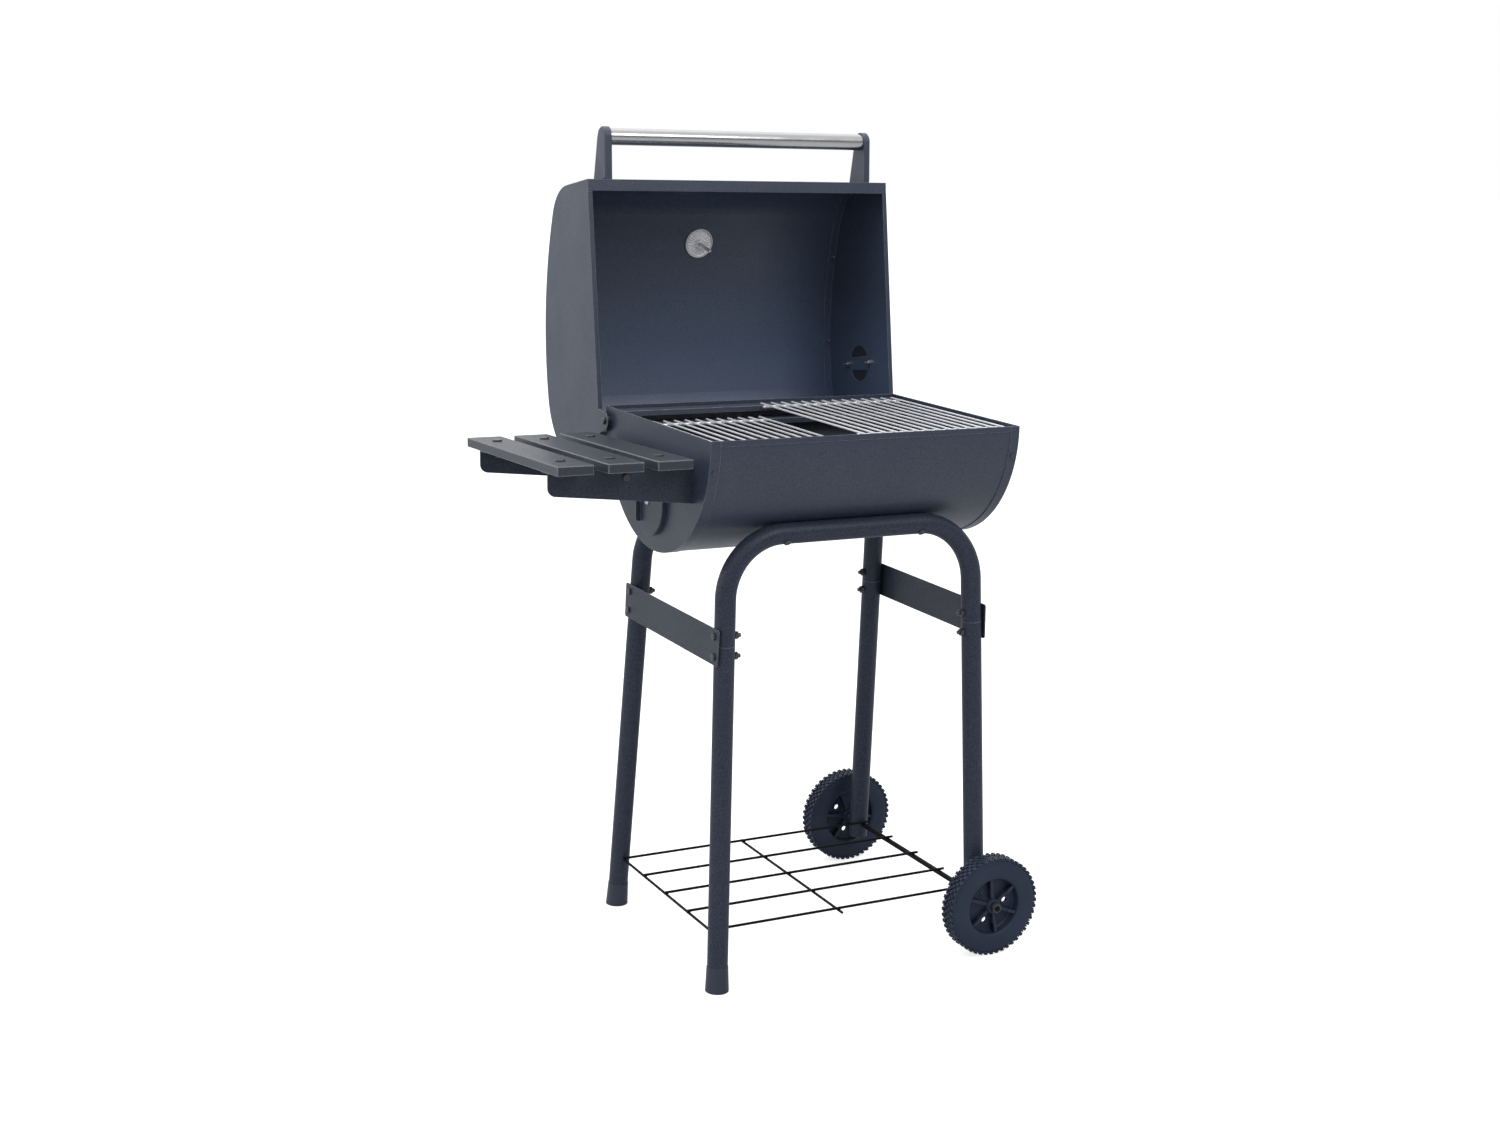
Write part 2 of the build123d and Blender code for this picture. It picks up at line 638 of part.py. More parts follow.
def vent_cover():
    """A round plate with a pivot lug and a raised rib, over the lid's vent."""
    near = LID_END_X + SEAT_GAP
    pivot_z = LID_VENT_Z + VENT_SCREW_REACH
    cover = rod(VENT_COVER_RADIUS, SHEET, (near, LID_VENT_Y, LID_VENT_Z), X_AXIS)
    cover += rod(9, SHEET, (near, LID_VENT_Y, pivot_z), X_AXIS)
    cover += block((near, near + 3), (LID_VENT_Y - 4, LID_VENT_Y + 4), (LID_VENT_Z - 24, LID_VENT_Z + 20))
    return cover - rod(VENT_SCREW_RADIUS + RUNNING_GAP, 10, (near - 5, LID_VENT_Y, pivot_z), X_AXIS)


def vent_screws():
    """The pivot screw above the lid's vent and the keeper screw below it, each with its nut."""
    pieces = []
    seat_x = LID_END_X + SHEET + 2 * SEAT_GAP
    inside_x = LID_END_X - SHEET - RUNNING_GAP
    for rise in (-VENT_SCREW_REACH, VENT_SCREW_REACH):
        z = LID_VENT_Z + rise
        pieces.append(bolt((seat_x, LID_VENT_Y, z), (-1, 0, 0), 12, VENT_SCREW_RADIUS, 5.0, 2.6))
        pieces.append(nut((inside_x, LID_VENT_Y, z), (-1, 0, 0), VENT_SCREW_RADIUS, 8.0, 4.0))
    return pieces


# ---------------------------------------------------------------- hinge

def hinge_bolts():
    return [bolt((side * (LID_END_X + SEAT_GAP), HINGE_Y, HINGE_Z), (-side, 0, 0), 20) for side in SIDES]


def hinge_spacers():
    """Sleeves that hold the lid's ears clear of the firebox."""
    length = LID_END_X - SHEET - END_X - 2 * SEAT_GAP
    start = [side * (END_X + SEAT_GAP) for side in SIDES]
    return [ring(7, BOLT_RADIUS + RUNNING_GAP, length, (x, HINGE_Y, HINGE_Z), (math.copysign(1, x), 0, 0))
            for x in start]


def hinge_nuts():
    inside = END_X - SHEET - RUNNING_GAP
    return [nut((side * inside, HINGE_Y, HINGE_Z), (-side, 0, 0)) for side in SIDES]


def lid_stops():
    """Screws behind the firebox that the open lid's back edge leans on."""
    wall = math.sqrt(FIREBOX_RADIUS ** 2 - (AXIS_HEIGHT - STOP_Z) ** 2)
    stops = []
    for side in SIDES:
        x = side * STOP_X
        head = rod(5, STOP_REACH - 1.5, (x, wall + 1.2, STOP_Z), Y_AXIS)
        stops.append(head + rod(BOLT_RADIUS, 16, (x, wall - 12, STOP_Z), Y_AXIS))
    return stops


# ---------------------------------------------------------------- stand

def leg_point(side_x, side_y, z):
    """A point on a leg's centre line."""
    x = LEG_FOOT_X - z * math.tan(math.radians(LEG_LEAN_X))
    y = LEG_FOOT_Y - z * math.tan(math.radians(LEG_LEAN_Y))
    return side_x * x, side_y * y, z


def leg_axis(side_x, side_y):
    """The direction down a leg."""
    top = Vector(*leg_point(side_x, side_y, SEAM_HEIGHT))
    foot = Vector(*leg_point(side_x, side_y, 0))
    return tuple((foot - top).normalized())


def outward(side_x):
    """The direction that faces sideways out of the legs on one side."""
    lean = math.radians(LEG_LEAN_X)
    return side_x * math.cos(lean), 0, math.sin(lean)


def plate_bolt_lines():
    """Seat and inward direction of each bolt through a side plate and a leg."""
    lines = []
    for side_x in SIDES:
        out = outward(side_x)
        for side_y in SIDES:
            for rise in (-PLATE_BOLT_OFFSET, PLATE_BOLT_OFFSET):
                centre = leg_point(side_x, side_y, SEAM_HEIGHT + rise)
                seat = along(centre, out, TUBE_RADIUS + PLATE_SHEET + 3 * RUNNING_GAP)
                lines.append((seat, tuple(-v for v in out)))
    return lines


def drilled(shape):
    """Cuts the side plates' bolt holes."""
    for seat, axis in plate_bolt_lines():
        shape -= rod(BOLT_HOLE, 2 * TUBE_RADIUS + 10, along(seat, axis, -5), axis)
    return shape


def frame_tube(side):
    """One tube bent into a square arch, with its top bar under the firebox."""
    lean = math.radians(LEG_LEAN_Y)
    plane = Plane(origin=(0, side * LEG_FOOT_Y, 0), x_dir=X_AXIS,
                  z_dir=(0, -math.cos(lean), -side * math.sin(lean)))
    top = frame_bar_centre(side)[1]
    foot_x = leg_point(1, 1, SEAM_HEIGHT)[0]
    top_x = leg_point(1, 1, top)[0]
    low = SEAM_HEIGHT / math.cos(lean)
    high = top / math.cos(lean)
    path = FilletPolyline((-foot_x, low), (-top_x, high), (top_x, high), (foot_x, low), radius=BEND_RADIUS)
    path = plane * path
    start = Plane(origin=path @ 0, z_dir=path % 0)
    tube = sweep(start * (Circle(TUBE_RADIUS) - Circle(TUBE_RADIUS - TUBE_WALL)), path=path)
    for seat, axis in frame_bolt_lines():
        if seat[1] * side > 0:
            tube -= rod(BOLT_HOLE, 2 * TUBE_RADIUS + 4, along(seat, axis, -2), axis)
    return drilled(tube)


def lower_leg(side_x, side_y, foot_z):
    """A straight leg with a drawn-down neck that fits inside the bent tube."""
    seam = leg_point(side_x, side_y, SEAM_HEIGHT)
    axis = leg_axis(side_x, side_y)
    length = (Vector(*leg_point(side_x, side_y, foot_z)) - Vector(*seam)).length
    neck_radius = TUBE_RADIUS - TUBE_WALL - RUNNING_GAP
    leg = ring(TUBE_RADIUS, TUBE_RADIUS - TUBE_WALL, length, seam, axis)
    neck_top = along(seam, axis, -NECK_LENGTH)
    leg += ring(neck_radius, neck_radius - TUBE_WALL, NECK_LENGTH + SHOULDER, neck_top, axis)
    leg += ring(TUBE_RADIUS, neck_radius - TUBE_WALL, SHOULDER, seam, axis)
    if side_x < 0:
        wire_end = leg_point(side_x, side_y, cross_wire_z())
        leg -= rod(WIRE_RADIUS + 0.3, 30, wire_end, (0, -side_y, 0))
    else:
        leg -= rod(AXLE_RADIUS + RUNNING_GAP, 80, (axle_x(), side_y * LEG_FOOT_Y - 40, WHEEL_RADIUS), Y_AXIS)
    return drilled(leg)


def foot_cap(side_y):
    """A tapered plastic cup on a leg, cut flat where it meets the ground."""
    axis = leg_axis(-1, side_y)
    up = tuple(-v for v in axis)
    base = leg_point(-1, side_y, FOOT_FLOOR)
    taper = Cone(FOOT_RADIUS, FOOT_TOP_RADIUS, FOOT_HEIGHT + 5, align=LOW)
    cup = Plane(origin=along(base, axis, 10), z_dir=up) * taper
    cup -= block((-400, 0), (-400, 400), (-50, 0))
    return cup - rod(TUBE_RADIUS + RUNNING_GAP, 100, along(base, axis, RUNNING_GAP), up)


def side_plate(side_x):
    """A flat strip that ties the front and rear legs at their seams."""
    centre = along(leg_point(side_x, 1, SEAM_HEIGHT), outward(side_x),
                   TUBE_RADIUS + PLATE_SHEET / 2 + 2 * RUNNING_GAP)
    plate = Box(PLATE_SHEET, PLATE_LENGTH, PLATE_HEIGHT)
    plate = fillet(plate.edges().filter_by(Axis.X), 4)
    plate = Pos(centre[0], 0, centre[2]) * Rot(0, -side_x * LEG_LEAN_X, 0) * plate
    return drilled(plate)


def side_plate_bolts():
    return [bolt(seat, axis, 2 * TUBE_RADIUS + 11) for seat, axis in plate_bolt_lines()]


def side_plate_nuts():
    reach = 2 * TUBE_RADIUS + PLATE_SHEET + 6 * RUNNING_GAP
    return [nut(along(seat, axis, reach), axis) for seat, axis in plate_bolt_lines()]


def frame_bolts():
    length = 2 * TUBE_RADIUS + 12
    return [bolt(seat, axis, length, BOLT_RADIUS, BOLT_HEAD_RADIUS, LOW_HEAD_HEIGHT)
            for seat, axis in frame_bolt_lines()]


def frame_nuts():
    reach = 2 * TUBE_RADIUS + SHEET + 7 * RUNNING_GAP
    return [nut(along(seat, axis, reach), axis) for seat, axis in frame_bolt_lines()]


# ---------------------------------------------------------------- wheels and bottom shelf

def axle_x():
    return leg_point(1, 1, WHEEL_RADIUS)[0]


def cross_wire_z():
    """Height of the wires that run front to back, below the long wires."""
    return long_wire_z() - 2 * WIRE_RADIUS + WELD_SINK


def long_wire_z():
    return WHEEL_RADIUS + AXLE_RADIUS + WIRE_RADIUS + RUNNING_GAP


def wire_shelf():
    """Five long wires over two cross wires; one cross wire plugs into the left legs."""
    left_x, left_y, cross_z = leg_point(-1, 1, cross_wire_z())
    end_x = axle_x() + WIRE_OVERHANG
    outer_y = 2 * WIRE_SPACING
    shelf = rod(WIRE_RADIUS, 2 * left_y, (left_x, -left_y, cross_z), Y_AXIS)
    shelf += rod(WIRE_RADIUS, 2 * outer_y + 20, (MIDDLE_WIRE_X, -outer_y - 10, cross_z), Y_AXIS)
    for i in range(-2, 3):
        start = (left_x - WIRE_RADIUS, i * WIRE_SPACING, long_wire_z())
        shelf += rod(WIRE_RADIUS, end_x - start[0], start, X_AXIS)
    return shelf


def axle():
    half = WHEEL_INNER_Y + WHEEL_WIDTH + 8
    return rod(AXLE_RADIUS, 2 * half, (axle_x(), -half, WHEEL_RADIUS), Y_AXIS)


def wheel_spacers():
    """Sleeves on the axle between a leg and its wheel."""
    start = leg_point(1, 1, WHEEL_RADIUS)[1] + TUBE_RADIUS + 1
    length = WHEEL_INNER_Y - 0.5 - start
    bore = AXLE_RADIUS + RUNNING_GAP
    return [ring(SPACER_RADIUS, bore, length, (axle_x(), side * start, WHEEL_RADIUS), (0, side, 0))
            for side in SIDES]


def axle_nuts():
    start = WHEEL_INNER_Y + WHEEL_WIDTH + 0.5
    size = (AXLE_RADIUS, AXLE_NUT_FLATS, AXLE_NUT_HEIGHT)
    return [nut((axle_x(), side * start, WHEEL_RADIUS), (0, side, 0), *size) for side in SIDES]


def wheel(side):
    """A moulded wheel: a thick rim, a thin web with spokes on both faces, and a hub."""
    base = (axle_x(), side * WHEEL_INNER_Y, WHEEL_RADIUS)
    out = (0, side, 0)
    rim = rod(WHEEL_RADIUS, WHEEL_WIDTH, base, out)
    rim = fillet(rim.edges().filter_by(GeomType.CIRCLE), 5)
    rim -= rod(WHEEL_RECESS_RADIUS, WHEEL_WIDTH, base, out)
    body = rim + rod(WHEEL_RECESS_RADIUS + 1, WHEEL_WEB, along(base, out, (WHEEL_WIDTH - WHEEL_WEB) / 2), out)
    body += rod(HUB_RADIUS, WHEEL_WIDTH, base, out)
    for i in range(SPOKES):
        spoke = Pos(0, 0, (HUB_RADIUS + WHEEL_RECESS_RADIUS) / 2)
        spoke *= Box(SPOKE_THICKNESS, WHEEL_WIDTH - 8, WHEEL_RECESS_RADIUS - HUB_RADIUS + 4)
        centre = along(base, out, WHEEL_WIDTH / 2)
        body += Pos(*centre) * Rot(0, i * 360 / SPOKES, 0) * spoke
    return body - rod(AXLE_RADIUS + RUNNING_GAP, WHEEL_WIDTH + 2, along(base, out, -1), out)


# ---------------------------------------------------------------- side shelf

def shelf_pose(shape):
    """Moves a piece drawn on a level shelf to the real one, whose rear end sags."""
    moved = shape.moved(Location((0, SHELF_CENTRE_Y, 0)))
    return moved.rotate(Axis((0, SHELF_CENTRE_Y, SLAT_TOP), X_AXIS), -SHELF_SAG)


def slat_centres():
    return [FIRST_SLAT_X + SLAT_WIDTH / 2 + i * SLAT_PITCH for i in range(3)]


def slat_bolt_places():
    return [(x, side * SLAT_BOLT_Y) for x in slat_centres() for side in SIDES]


def slat(x):
    """One board of the side shelf."""
    board = Pos(x, 0, SLAT_TOP - SLAT_THICKNESS / 2) * Box(SLAT_WIDTH, SLAT_LENGTH, SLAT_THICKNESS)
    board = chamfer(board.edges(), 0.8)
    for side in SIDES:
        board -= rod(BOLT_HOLE, 40, (x, side * SLAT_BOLT_Y, SLAT_TOP - 30), Z_AXIS)
    return shelf_pose(board)


def slat_bolts():
    length = SLAT_THICKNESS + BRACKET_SHEET + 9
    seat_z = SLAT_TOP + RUNNING_GAP
    return [shelf_pose(bolt((x, y, seat_z), (0, 0, -1), length, BOLT_RADIUS, SLAT_BOLT_HEAD, 2.4))
            for x, y in slat_bolt_places()]


def slat_nuts():
    seat = BRACKET_TOP - BRACKET_SHEET - RUNNING_GAP
    return [shelf_pose(nut((x, y, seat), (0, 0, -1))) for x, y in slat_bolt_places()]


def bracket_bolt_places():
    """Y and Z of each bolt between a shelf bracket and the firebox, on the level shelf."""
    return [(side * SLAT_BOLT_Y, BRACKET_TOP - drop) for side in SIDES for drop in BRACKET_BOLT_DROPS]


def web_bolt_seat(side, reach):
    """A point on the line of the bolt through a bracket's web."""
    return WEB_BOLT_X, side * (BRACKET_Y + reach), BRACKET_TOP - WEB_BOLT_DROP


def shelf_bracket(side):
    """A tapered web with a top flange under the slats and an end flange on the firebox."""
    inner_x = -END_X - RUNNING_GAP
    corners = [(BRACKET_OUTER_X, BRACKET_TOP), (inner_x, BRACKET_TOP),
               (inner_x, BRACKET_TOP - BRACKET_INNER_DROP),
               (BRACKET_OUTER_X, BRACKET_TOP - BRACKET_OUTER_DROP)]
    web = make_face(Polyline(*corners, close=True))
    low_corner = web.vertices().sort_by(Axis.X)[:2].sort_by(Axis.Y)[0]
    web = fillet(low_corner, BRACKET_CORNER)
    outer_y = side * BRACKET_Y
    web_plane = Plane(origin=(0, outer_y, 0), x_dir=X_AXIS, z_dir=(0, -1, 0))
    bracket = extrude(web_plane * web, side * BRACKET_SHEET)
    flange_y = (outer_y, outer_y - side * BRACKET_FLANGE)
    bracket += block((BRACKET_OUTER_X, inner_x), flange_y, (BRACKET_TOP - BRACKET_SHEET, BRACKET_TOP))
    bracket += block((inner_x - BRACKET_SHEET, inner_x), flange_y,
                     (BRACKET_TOP - BRACKET_INNER_DROP + 3, BRACKET_TOP))
    for x in slat_centres():
        bracket -= rod(BOLT_HOLE, 20, (x, side * SLAT_BOLT_Y, BRACKET_TOP - 10), Z_AXIS)
    for y, z in bracket_bolt_places():
        bracket -= rod(BOLT_HOLE, 20, (inner_x - 10, y, z), X_AXIS)
    bracket -= rod(BOLT_HOLE, 20, web_bolt_seat(side, 10), (0, -side, 0))
    return shelf_pose(bracket)


def bracket_bolts():
    """Bolts through the end flanges, and one through each web."""
    length = BRACKET_SHEET + 10
    seat_x = -END_X - BRACKET_SHEET - 2 * RUNNING_GAP
    bolts = [bolt((seat_x, y, z), X_AXIS, length) for y, z in bracket_bolt_places()]
    bolts += [bolt(web_bolt_seat(side, RUNNING_GAP), (0, -side, 0), length) for side in SIDES]
    return [shelf_pose(b) for b in bolts]


def bracket_nuts():
    inside = -END_X + SHEET + RUNNING_GAP
    nuts = [nut((inside, y, z), X_AXIS) for y, z in bracket_bolt_places()]
    nuts += [nut(web_bolt_seat(side, -BRACKET_SHEET - RUNNING_GAP), (0, -side, 0)) for side in SIDES]
    return [shelf_pose(n) for n in nuts]


# ---------------------------------------------------------------- nodes

save("front_frame_tube", frame_tube(-1))
save("rear_frame_tube", frame_tube(1))
save("front_left_leg", lower_leg(-1, -1, FOOT_FLOOR))
save("rear_left_leg", lower_leg(-1, 1, FOOT_FLOOR))
save("front_right_leg", lower_leg(1, -1, WHEEL_LEG_END))
save("rear_right_leg", lower_leg(1, 1, WHEEL_LEG_END))
save("foot_caps", foot_cap(-1), foot_cap(1))
save("left_side_plate", side_plate(-1))
save("right_side_plate", side_plate(1))
save("side_plate_bolts", *side_plate_bolts())
save("side_plate_nuts", *side_plate_nuts())
save("frame_bolts", *frame_bolts())
save("frame_nuts", *frame_nuts())
save("wire_shelf", wire_shelf())
save("axle", axle())
save("wheel_spacers", *wheel_spacers())
save("axle_nuts", *axle_nuts())
save("front_wheel", wheel(-1))
save("rear_wheel", wheel(1))

save("firebox_shell", firebox_shell())
save("firebox_left_end", firebox_end(-1))
save("firebox_right_end", firebox_end(1))
save("firebox_end_screws", *cap_screws())
save("grate_ledges", *grate_ledges())
save("firebox_damper", damper())
save("damper_rivet", damper_rivet())
save("left_cooking_grate", cooking_grate(LEFT_GRATE_X, *LOWER_LEDGE))
save("right_cooking_grate", cooking_grate(RIGHT_GRATE_X, *UPPER_LEDGE))
save("charcoal_grate", charcoal_grate())

save("lid_shell", opened(lid_shell()))
save("lid_left_end", opened(lid_end(-1)))
save("lid_right_end", opened(lid_end(1)))
save("lid_end_screws", *[opened(s) for s in lid_screws()])
save("left_handle_post", opened(handle_post(-1)))
save("right_handle_post", opened(handle_post(1)))
save("handle_tube", opened(handle_tube()))
save("handle_screws", *[opened(s) for s in handle_screws()])
save("thermometer_case", opened(thermometer_case()))
save("thermometer_dial", opened(thermometer_dial()))
save("thermometer_glass", opened(thermometer_glass()))
save("thermometer_needle", opened(thermometer_needle()))
save("thermometer_stem", opened(thermometer_stem()))
save("thermometer_backplate", opened(thermometer_backplate()))
save("lid_vent_cover", opened(vent_cover()))
save("lid_vent_screws", *[opened(s) for s in vent_screws()])
save("hinge_bolts", *hinge_bolts())
save("hinge_spacers", *hinge_spacers())
save("hinge_nuts", *hinge_nuts())
save("lid_stop_screws", *lid_stops())

slat_names = ("outer_shelf_slat", "middle_shelf_slat", "inner_shelf_slat")
for slat_name, centre in zip(slat_names, slat_centres()):
    save(slat_name, slat(centre))
save("slat_bolts", *slat_bolts())
save("slat_nuts", *slat_nuts())
save("front_shelf_bracket", shelf_bracket(-1))
save("rear_shelf_bracket", shelf_bracket(1))
save("bracket_bolts", *bracket_bolts())
save("bracket_nuts", *bracket_nuts())
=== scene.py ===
import bpy
import bmesh
import json
import math
import random
from mathutils import Matrix, Vector


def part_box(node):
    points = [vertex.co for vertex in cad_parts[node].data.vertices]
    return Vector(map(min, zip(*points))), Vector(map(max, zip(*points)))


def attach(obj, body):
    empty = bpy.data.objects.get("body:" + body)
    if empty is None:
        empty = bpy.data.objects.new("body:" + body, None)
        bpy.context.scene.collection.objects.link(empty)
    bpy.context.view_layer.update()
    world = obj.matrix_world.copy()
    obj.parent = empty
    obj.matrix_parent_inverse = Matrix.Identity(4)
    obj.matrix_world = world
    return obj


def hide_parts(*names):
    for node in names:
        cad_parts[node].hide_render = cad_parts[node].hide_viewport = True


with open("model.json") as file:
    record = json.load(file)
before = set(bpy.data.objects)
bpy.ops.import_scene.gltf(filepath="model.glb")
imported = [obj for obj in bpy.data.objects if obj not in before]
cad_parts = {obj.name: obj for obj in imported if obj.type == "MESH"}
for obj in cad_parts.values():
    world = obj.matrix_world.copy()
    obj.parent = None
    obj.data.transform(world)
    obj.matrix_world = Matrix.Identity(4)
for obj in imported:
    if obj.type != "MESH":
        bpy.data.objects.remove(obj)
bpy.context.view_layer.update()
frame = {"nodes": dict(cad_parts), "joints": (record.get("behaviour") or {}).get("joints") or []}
nodes = frame["nodes"]
scene = bpy.context.scene
rng = random.Random(7)
MM = 0.001


# ---------------------------------------------------------------- node helpers

def set_range(node, low, high, out_low, out_high):
    """Fills in the four limits of a Map Range node."""
    for key, number in zip(("From Min", "From Max", "To Min", "To Max"), (low, high, out_low, out_high)):
        node.inputs[key].default_value = number


class Graph:
    """A material's node tree, with short calls for the nodes used here."""

    def __init__(self, name):
        self.material = bpy.data.materials.new(name)
        self.material.use_nodes = True
        self.tree = self.material.node_tree
        self.tree.nodes.clear()
        self.out = self.add("ShaderNodeOutputMaterial")
        self.shader = self.add("ShaderNodeBsdfPrincipled")
        self.link(self.shader.outputs[0], self.out.inputs["Surface"])
        self.coords = self.add("ShaderNodeTexCoord").outputs["Object"]

    def add(self, kind, **values):
        node = self.tree.nodes.new(kind)
        for key, value in values.items():
            setattr(node, key, value)
        return node

    def link(self, source, target):
        self.tree.links.new(source, target)

    def put(self, target, value):
        """Sets an input from a number, a colour or another node's output."""
        if isinstance(value, bpy.types.NodeSocket):
            self.link(value, target)
        else:
            target.default_value = value

    def set(self, **values):
        for key, value in values.items():
            self.put(self.shader.inputs[key.replace("_", " ")], value)

    def mapped(self, scale):
        node = self.add("ShaderNodeMapping")
        node.inputs["Scale"].default_value = scale
        self.link(self.coords, node.inputs["Vector"])
        return node.outputs[0]

    def noise(self, scale, detail=3.0, rough=0.55, vector=None):
        node = self.add("ShaderNodeTexNoise")
        node.inputs["Scale"].default_value = scale
        node.inputs["Detail"].default_value = detail
        node.inputs["Roughness"].default_value = rough
        self.link(vector or self.coords, node.inputs["Vector"])
        return node.outputs["Fac"]

    def span(self, value, low, high, out_low=0.0, out_high=1.0):
        """Maps a range of value onto another range, clamped."""
        node = self.add("ShaderNodeMapRange")
        self.put(node.inputs["Value"], value)
        set_range(node, low, high, out_low, out_high)
        return node.outputs["Result"]

    def math(self, operation, a, b=0.0):
        node = self.add("ShaderNodeMath", operation=operation)
        self.put(node.inputs[0], a)
        self.put(node.inputs[1], b)
        return node.outputs[0]

    def mix(self, factor, a, b):
        node = self.add("ShaderNodeMix", data_type="RGBA")
        self.put(node.inputs["Factor"], factor)
        self.put(node.inputs[6], a if isinstance(a, bpy.types.NodeSocket) else (*a, 1.0))
        self.put(node.inputs[7], b if isinstance(b, bpy.types.NodeSocket) else (*b, 1.0))
        return node.outputs[2]

    def bump(self, height, strength, distance, normal=None):
        node = self.add("ShaderNodeBump")
        node.inputs["Strength"].default_value = strength
        node.inputs["Distance"].default_value = distance
        self.link(height, node.inputs["Height"])
        if normal:
            self.link(normal, node.inputs["Normal"])
        return node.outputs[0]

    def edges(self, radius):
        """1 on sharp edges and 0 on flat faces, with the rounded normal that finds them."""
        bevel = self.add("ShaderNodeBevel", samples=4)
        bevel.inputs["Radius"].default_value = radius
        dot = self.add("ShaderNodeVectorMath", operation="DOT_PRODUCT")
        self.link(bevel.outputs[0], dot.inputs[0])
        self.link(self.add("ShaderNodeNewGeometry").outputs["Normal"], dot.inputs[1])
        return self.span(self.math("SUBTRACT", 1.0, dot.outputs["Value"]), 0.02, 0.25), bevel.outputs[0]


lid_joint = next(j for j in frame["joints"] if j["name"] == "lid_hinge")
LID_OPEN = math.radians(lid_joint["range_deg"][1])
RIM_ABOVE_HINGE = 21.2 * MM
LID_INWARD = Vector((0, math.sin(LID_OPEN), math.cos(LID_OPEN)))
RIM_DEPTH = LID_INWARD.dot(Vector(lid_joint["pos_m"])) + RIM_ABOVE_HINGE


def inner_faces(g):
    """1 on the lid's inner faces behind its rim, and 1 towards its upper half, in the pose of the CAD; these
    masks place the painted light on the lid's inside.
    """
    normal = g.add("ShaderNodeSeparateXYZ")
    g.link(g.add("ShaderNodeTexCoord").outputs["Normal"], normal.inputs[0])
    place = g.add("ShaderNodeSeparateXYZ")
    g.link(g.coords, place.inputs[0])
    front = g.span(normal.outputs["Y"], -0.1, -0.3)
    inward = g.span(g.math("MULTIPLY", normal.outputs["X"], place.outputs["X"]), -0.1, -0.2)
    depth = g.add("ShaderNodeVectorMath", operation="DOT_PRODUCT")
    g.link(g.coords, depth.inputs[0])
    depth.inputs[1].default_value = LID_INWARD
    behind_rim = g.span(depth.outputs["Value"], RIM_DEPTH + 2 * MM, RIM_DEPTH + 3 * MM)
    inner = g.math("MULTIPLY", g.math("MAXIMUM", front, inward), behind_rim)
    return inner, g.span(place.outputs["Z"], 0.82, 0.95)


def powder_coat(name, dark, light, edge, rough, edge_radius=0.0009, shine=0.5, inside=None):
    """Satin powder coat: fine orange peel, slow colour drift, and paler edges that are partly rubbed wear
    and partly a painted highlight; inside paints light onto the lid's inner faces.
    """
    g = Graph(name)
    edge_mask, rounded = g.edges(edge_radius)
    drift = g.span(g.noise(4.0, 2.0), 0.3, 0.7)
    speckle = g.span(g.noise(900.0, 2.0), 0.35, 0.7)
    tone = g.mix(drift, dark, light)
    if inside:
        inner, upper = inner_faces(g)
        # Painted light: the lid's inner faces take a lighter, bluer coat, 1.8 times lighter again towards
        # their lower part.
        tone = g.mix(inner, tone, g.mix(upper, tuple(1.8 * c for c in inside), inside))
    tone = g.mix(g.math("MULTIPLY", speckle, 0.10), tone, edge)
    # Paler edges: partly rubbed wear, partly a painted highlight.
    worn_and_highlit = g.math("MULTIPLY", edge_mask, g.span(g.noise(60.0, 4.0), 0.25, 0.6, 0.35, 1.0))
    tone = g.mix(g.math("MULTIPLY", worn_and_highlit, 0.85), tone, edge)
    smudge = g.noise(11.0, 4.0)
    g.set(Base_Color=tone, Roughness=g.span(smudge, 0.3, 0.7, rough - 0.05, rough + 0.07),
          Specular_IOR_Level=shine, Coat_Weight=0.2 * shine, Coat_Roughness=0.25)
    g.set(Normal=g.bump(g.noise(420.0, 2.0), 0.25, 0.0006, rounded))
    return g.material


def plated(name, colour, stain, rough, axis_scale=(1, 1, 1), metal=1.0):
    """Bright metal with faint stains, and marks that axis_scale can draw out along an axis."""
    g = Graph(name)
    edge_mask, rounded = g.edges(0.0006)
    patches = g.span(g.noise(22.0, 4.0), 0.42, 0.72)
    tone = g.mix(g.math("MULTIPLY", patches, 0.35), colour, stain)
    brushed = g.noise(260.0, 3.0, 0.6, g.mapped(axis_scale))
    patchy = g.span(patches, 0, 1, rough, rough + 0.10)
    roughness = g.math("ADD", patchy, g.math("MULTIPLY", edge_mask, 0.05))
    g.set(Base_Color=tone, Metallic=metal, Roughness=roughness)
    g.set(Normal=g.bump(brushed, 0.10, 0.0003, rounded))
    return g.material


def moulded(name, dark, light, rough, texture, shine=0.5):
    """Moulded plastic: a fine spark-eroded texture, paler edges that are partly scuffs and partly a painted
    highlight, and uneven sheen.
    """
    g = Graph(name)
    edge_mask, rounded = g.edges(0.0007)
    drift = g.span(g.noise(9.0, 3.0), 0.3, 0.7)
    tone = g.mix(drift, dark, tuple(1.4 * c for c in dark))
    # Paler edges: partly scuffs, partly a painted highlight.
    scuff_and_highlight = g.math("MULTIPLY", edge_mask, g.span(g.noise(90.0, 4.0), 0.35, 0.65))
    tone = g.mix(g.math("MULTIPLY", scuff_and_highlight, 0.5), tone, light)
    g.set(Base_Color=tone, Roughness=g.span(g.noise(25.0, 4.0), 0.3, 0.7, rough - 0.06, rough + 0.10),
          Specular_IOR_Level=shine)
    g.set(Normal=g.bump(g.noise(1100.0, 2.0), texture, 0.0004, rounded))
    return g.material


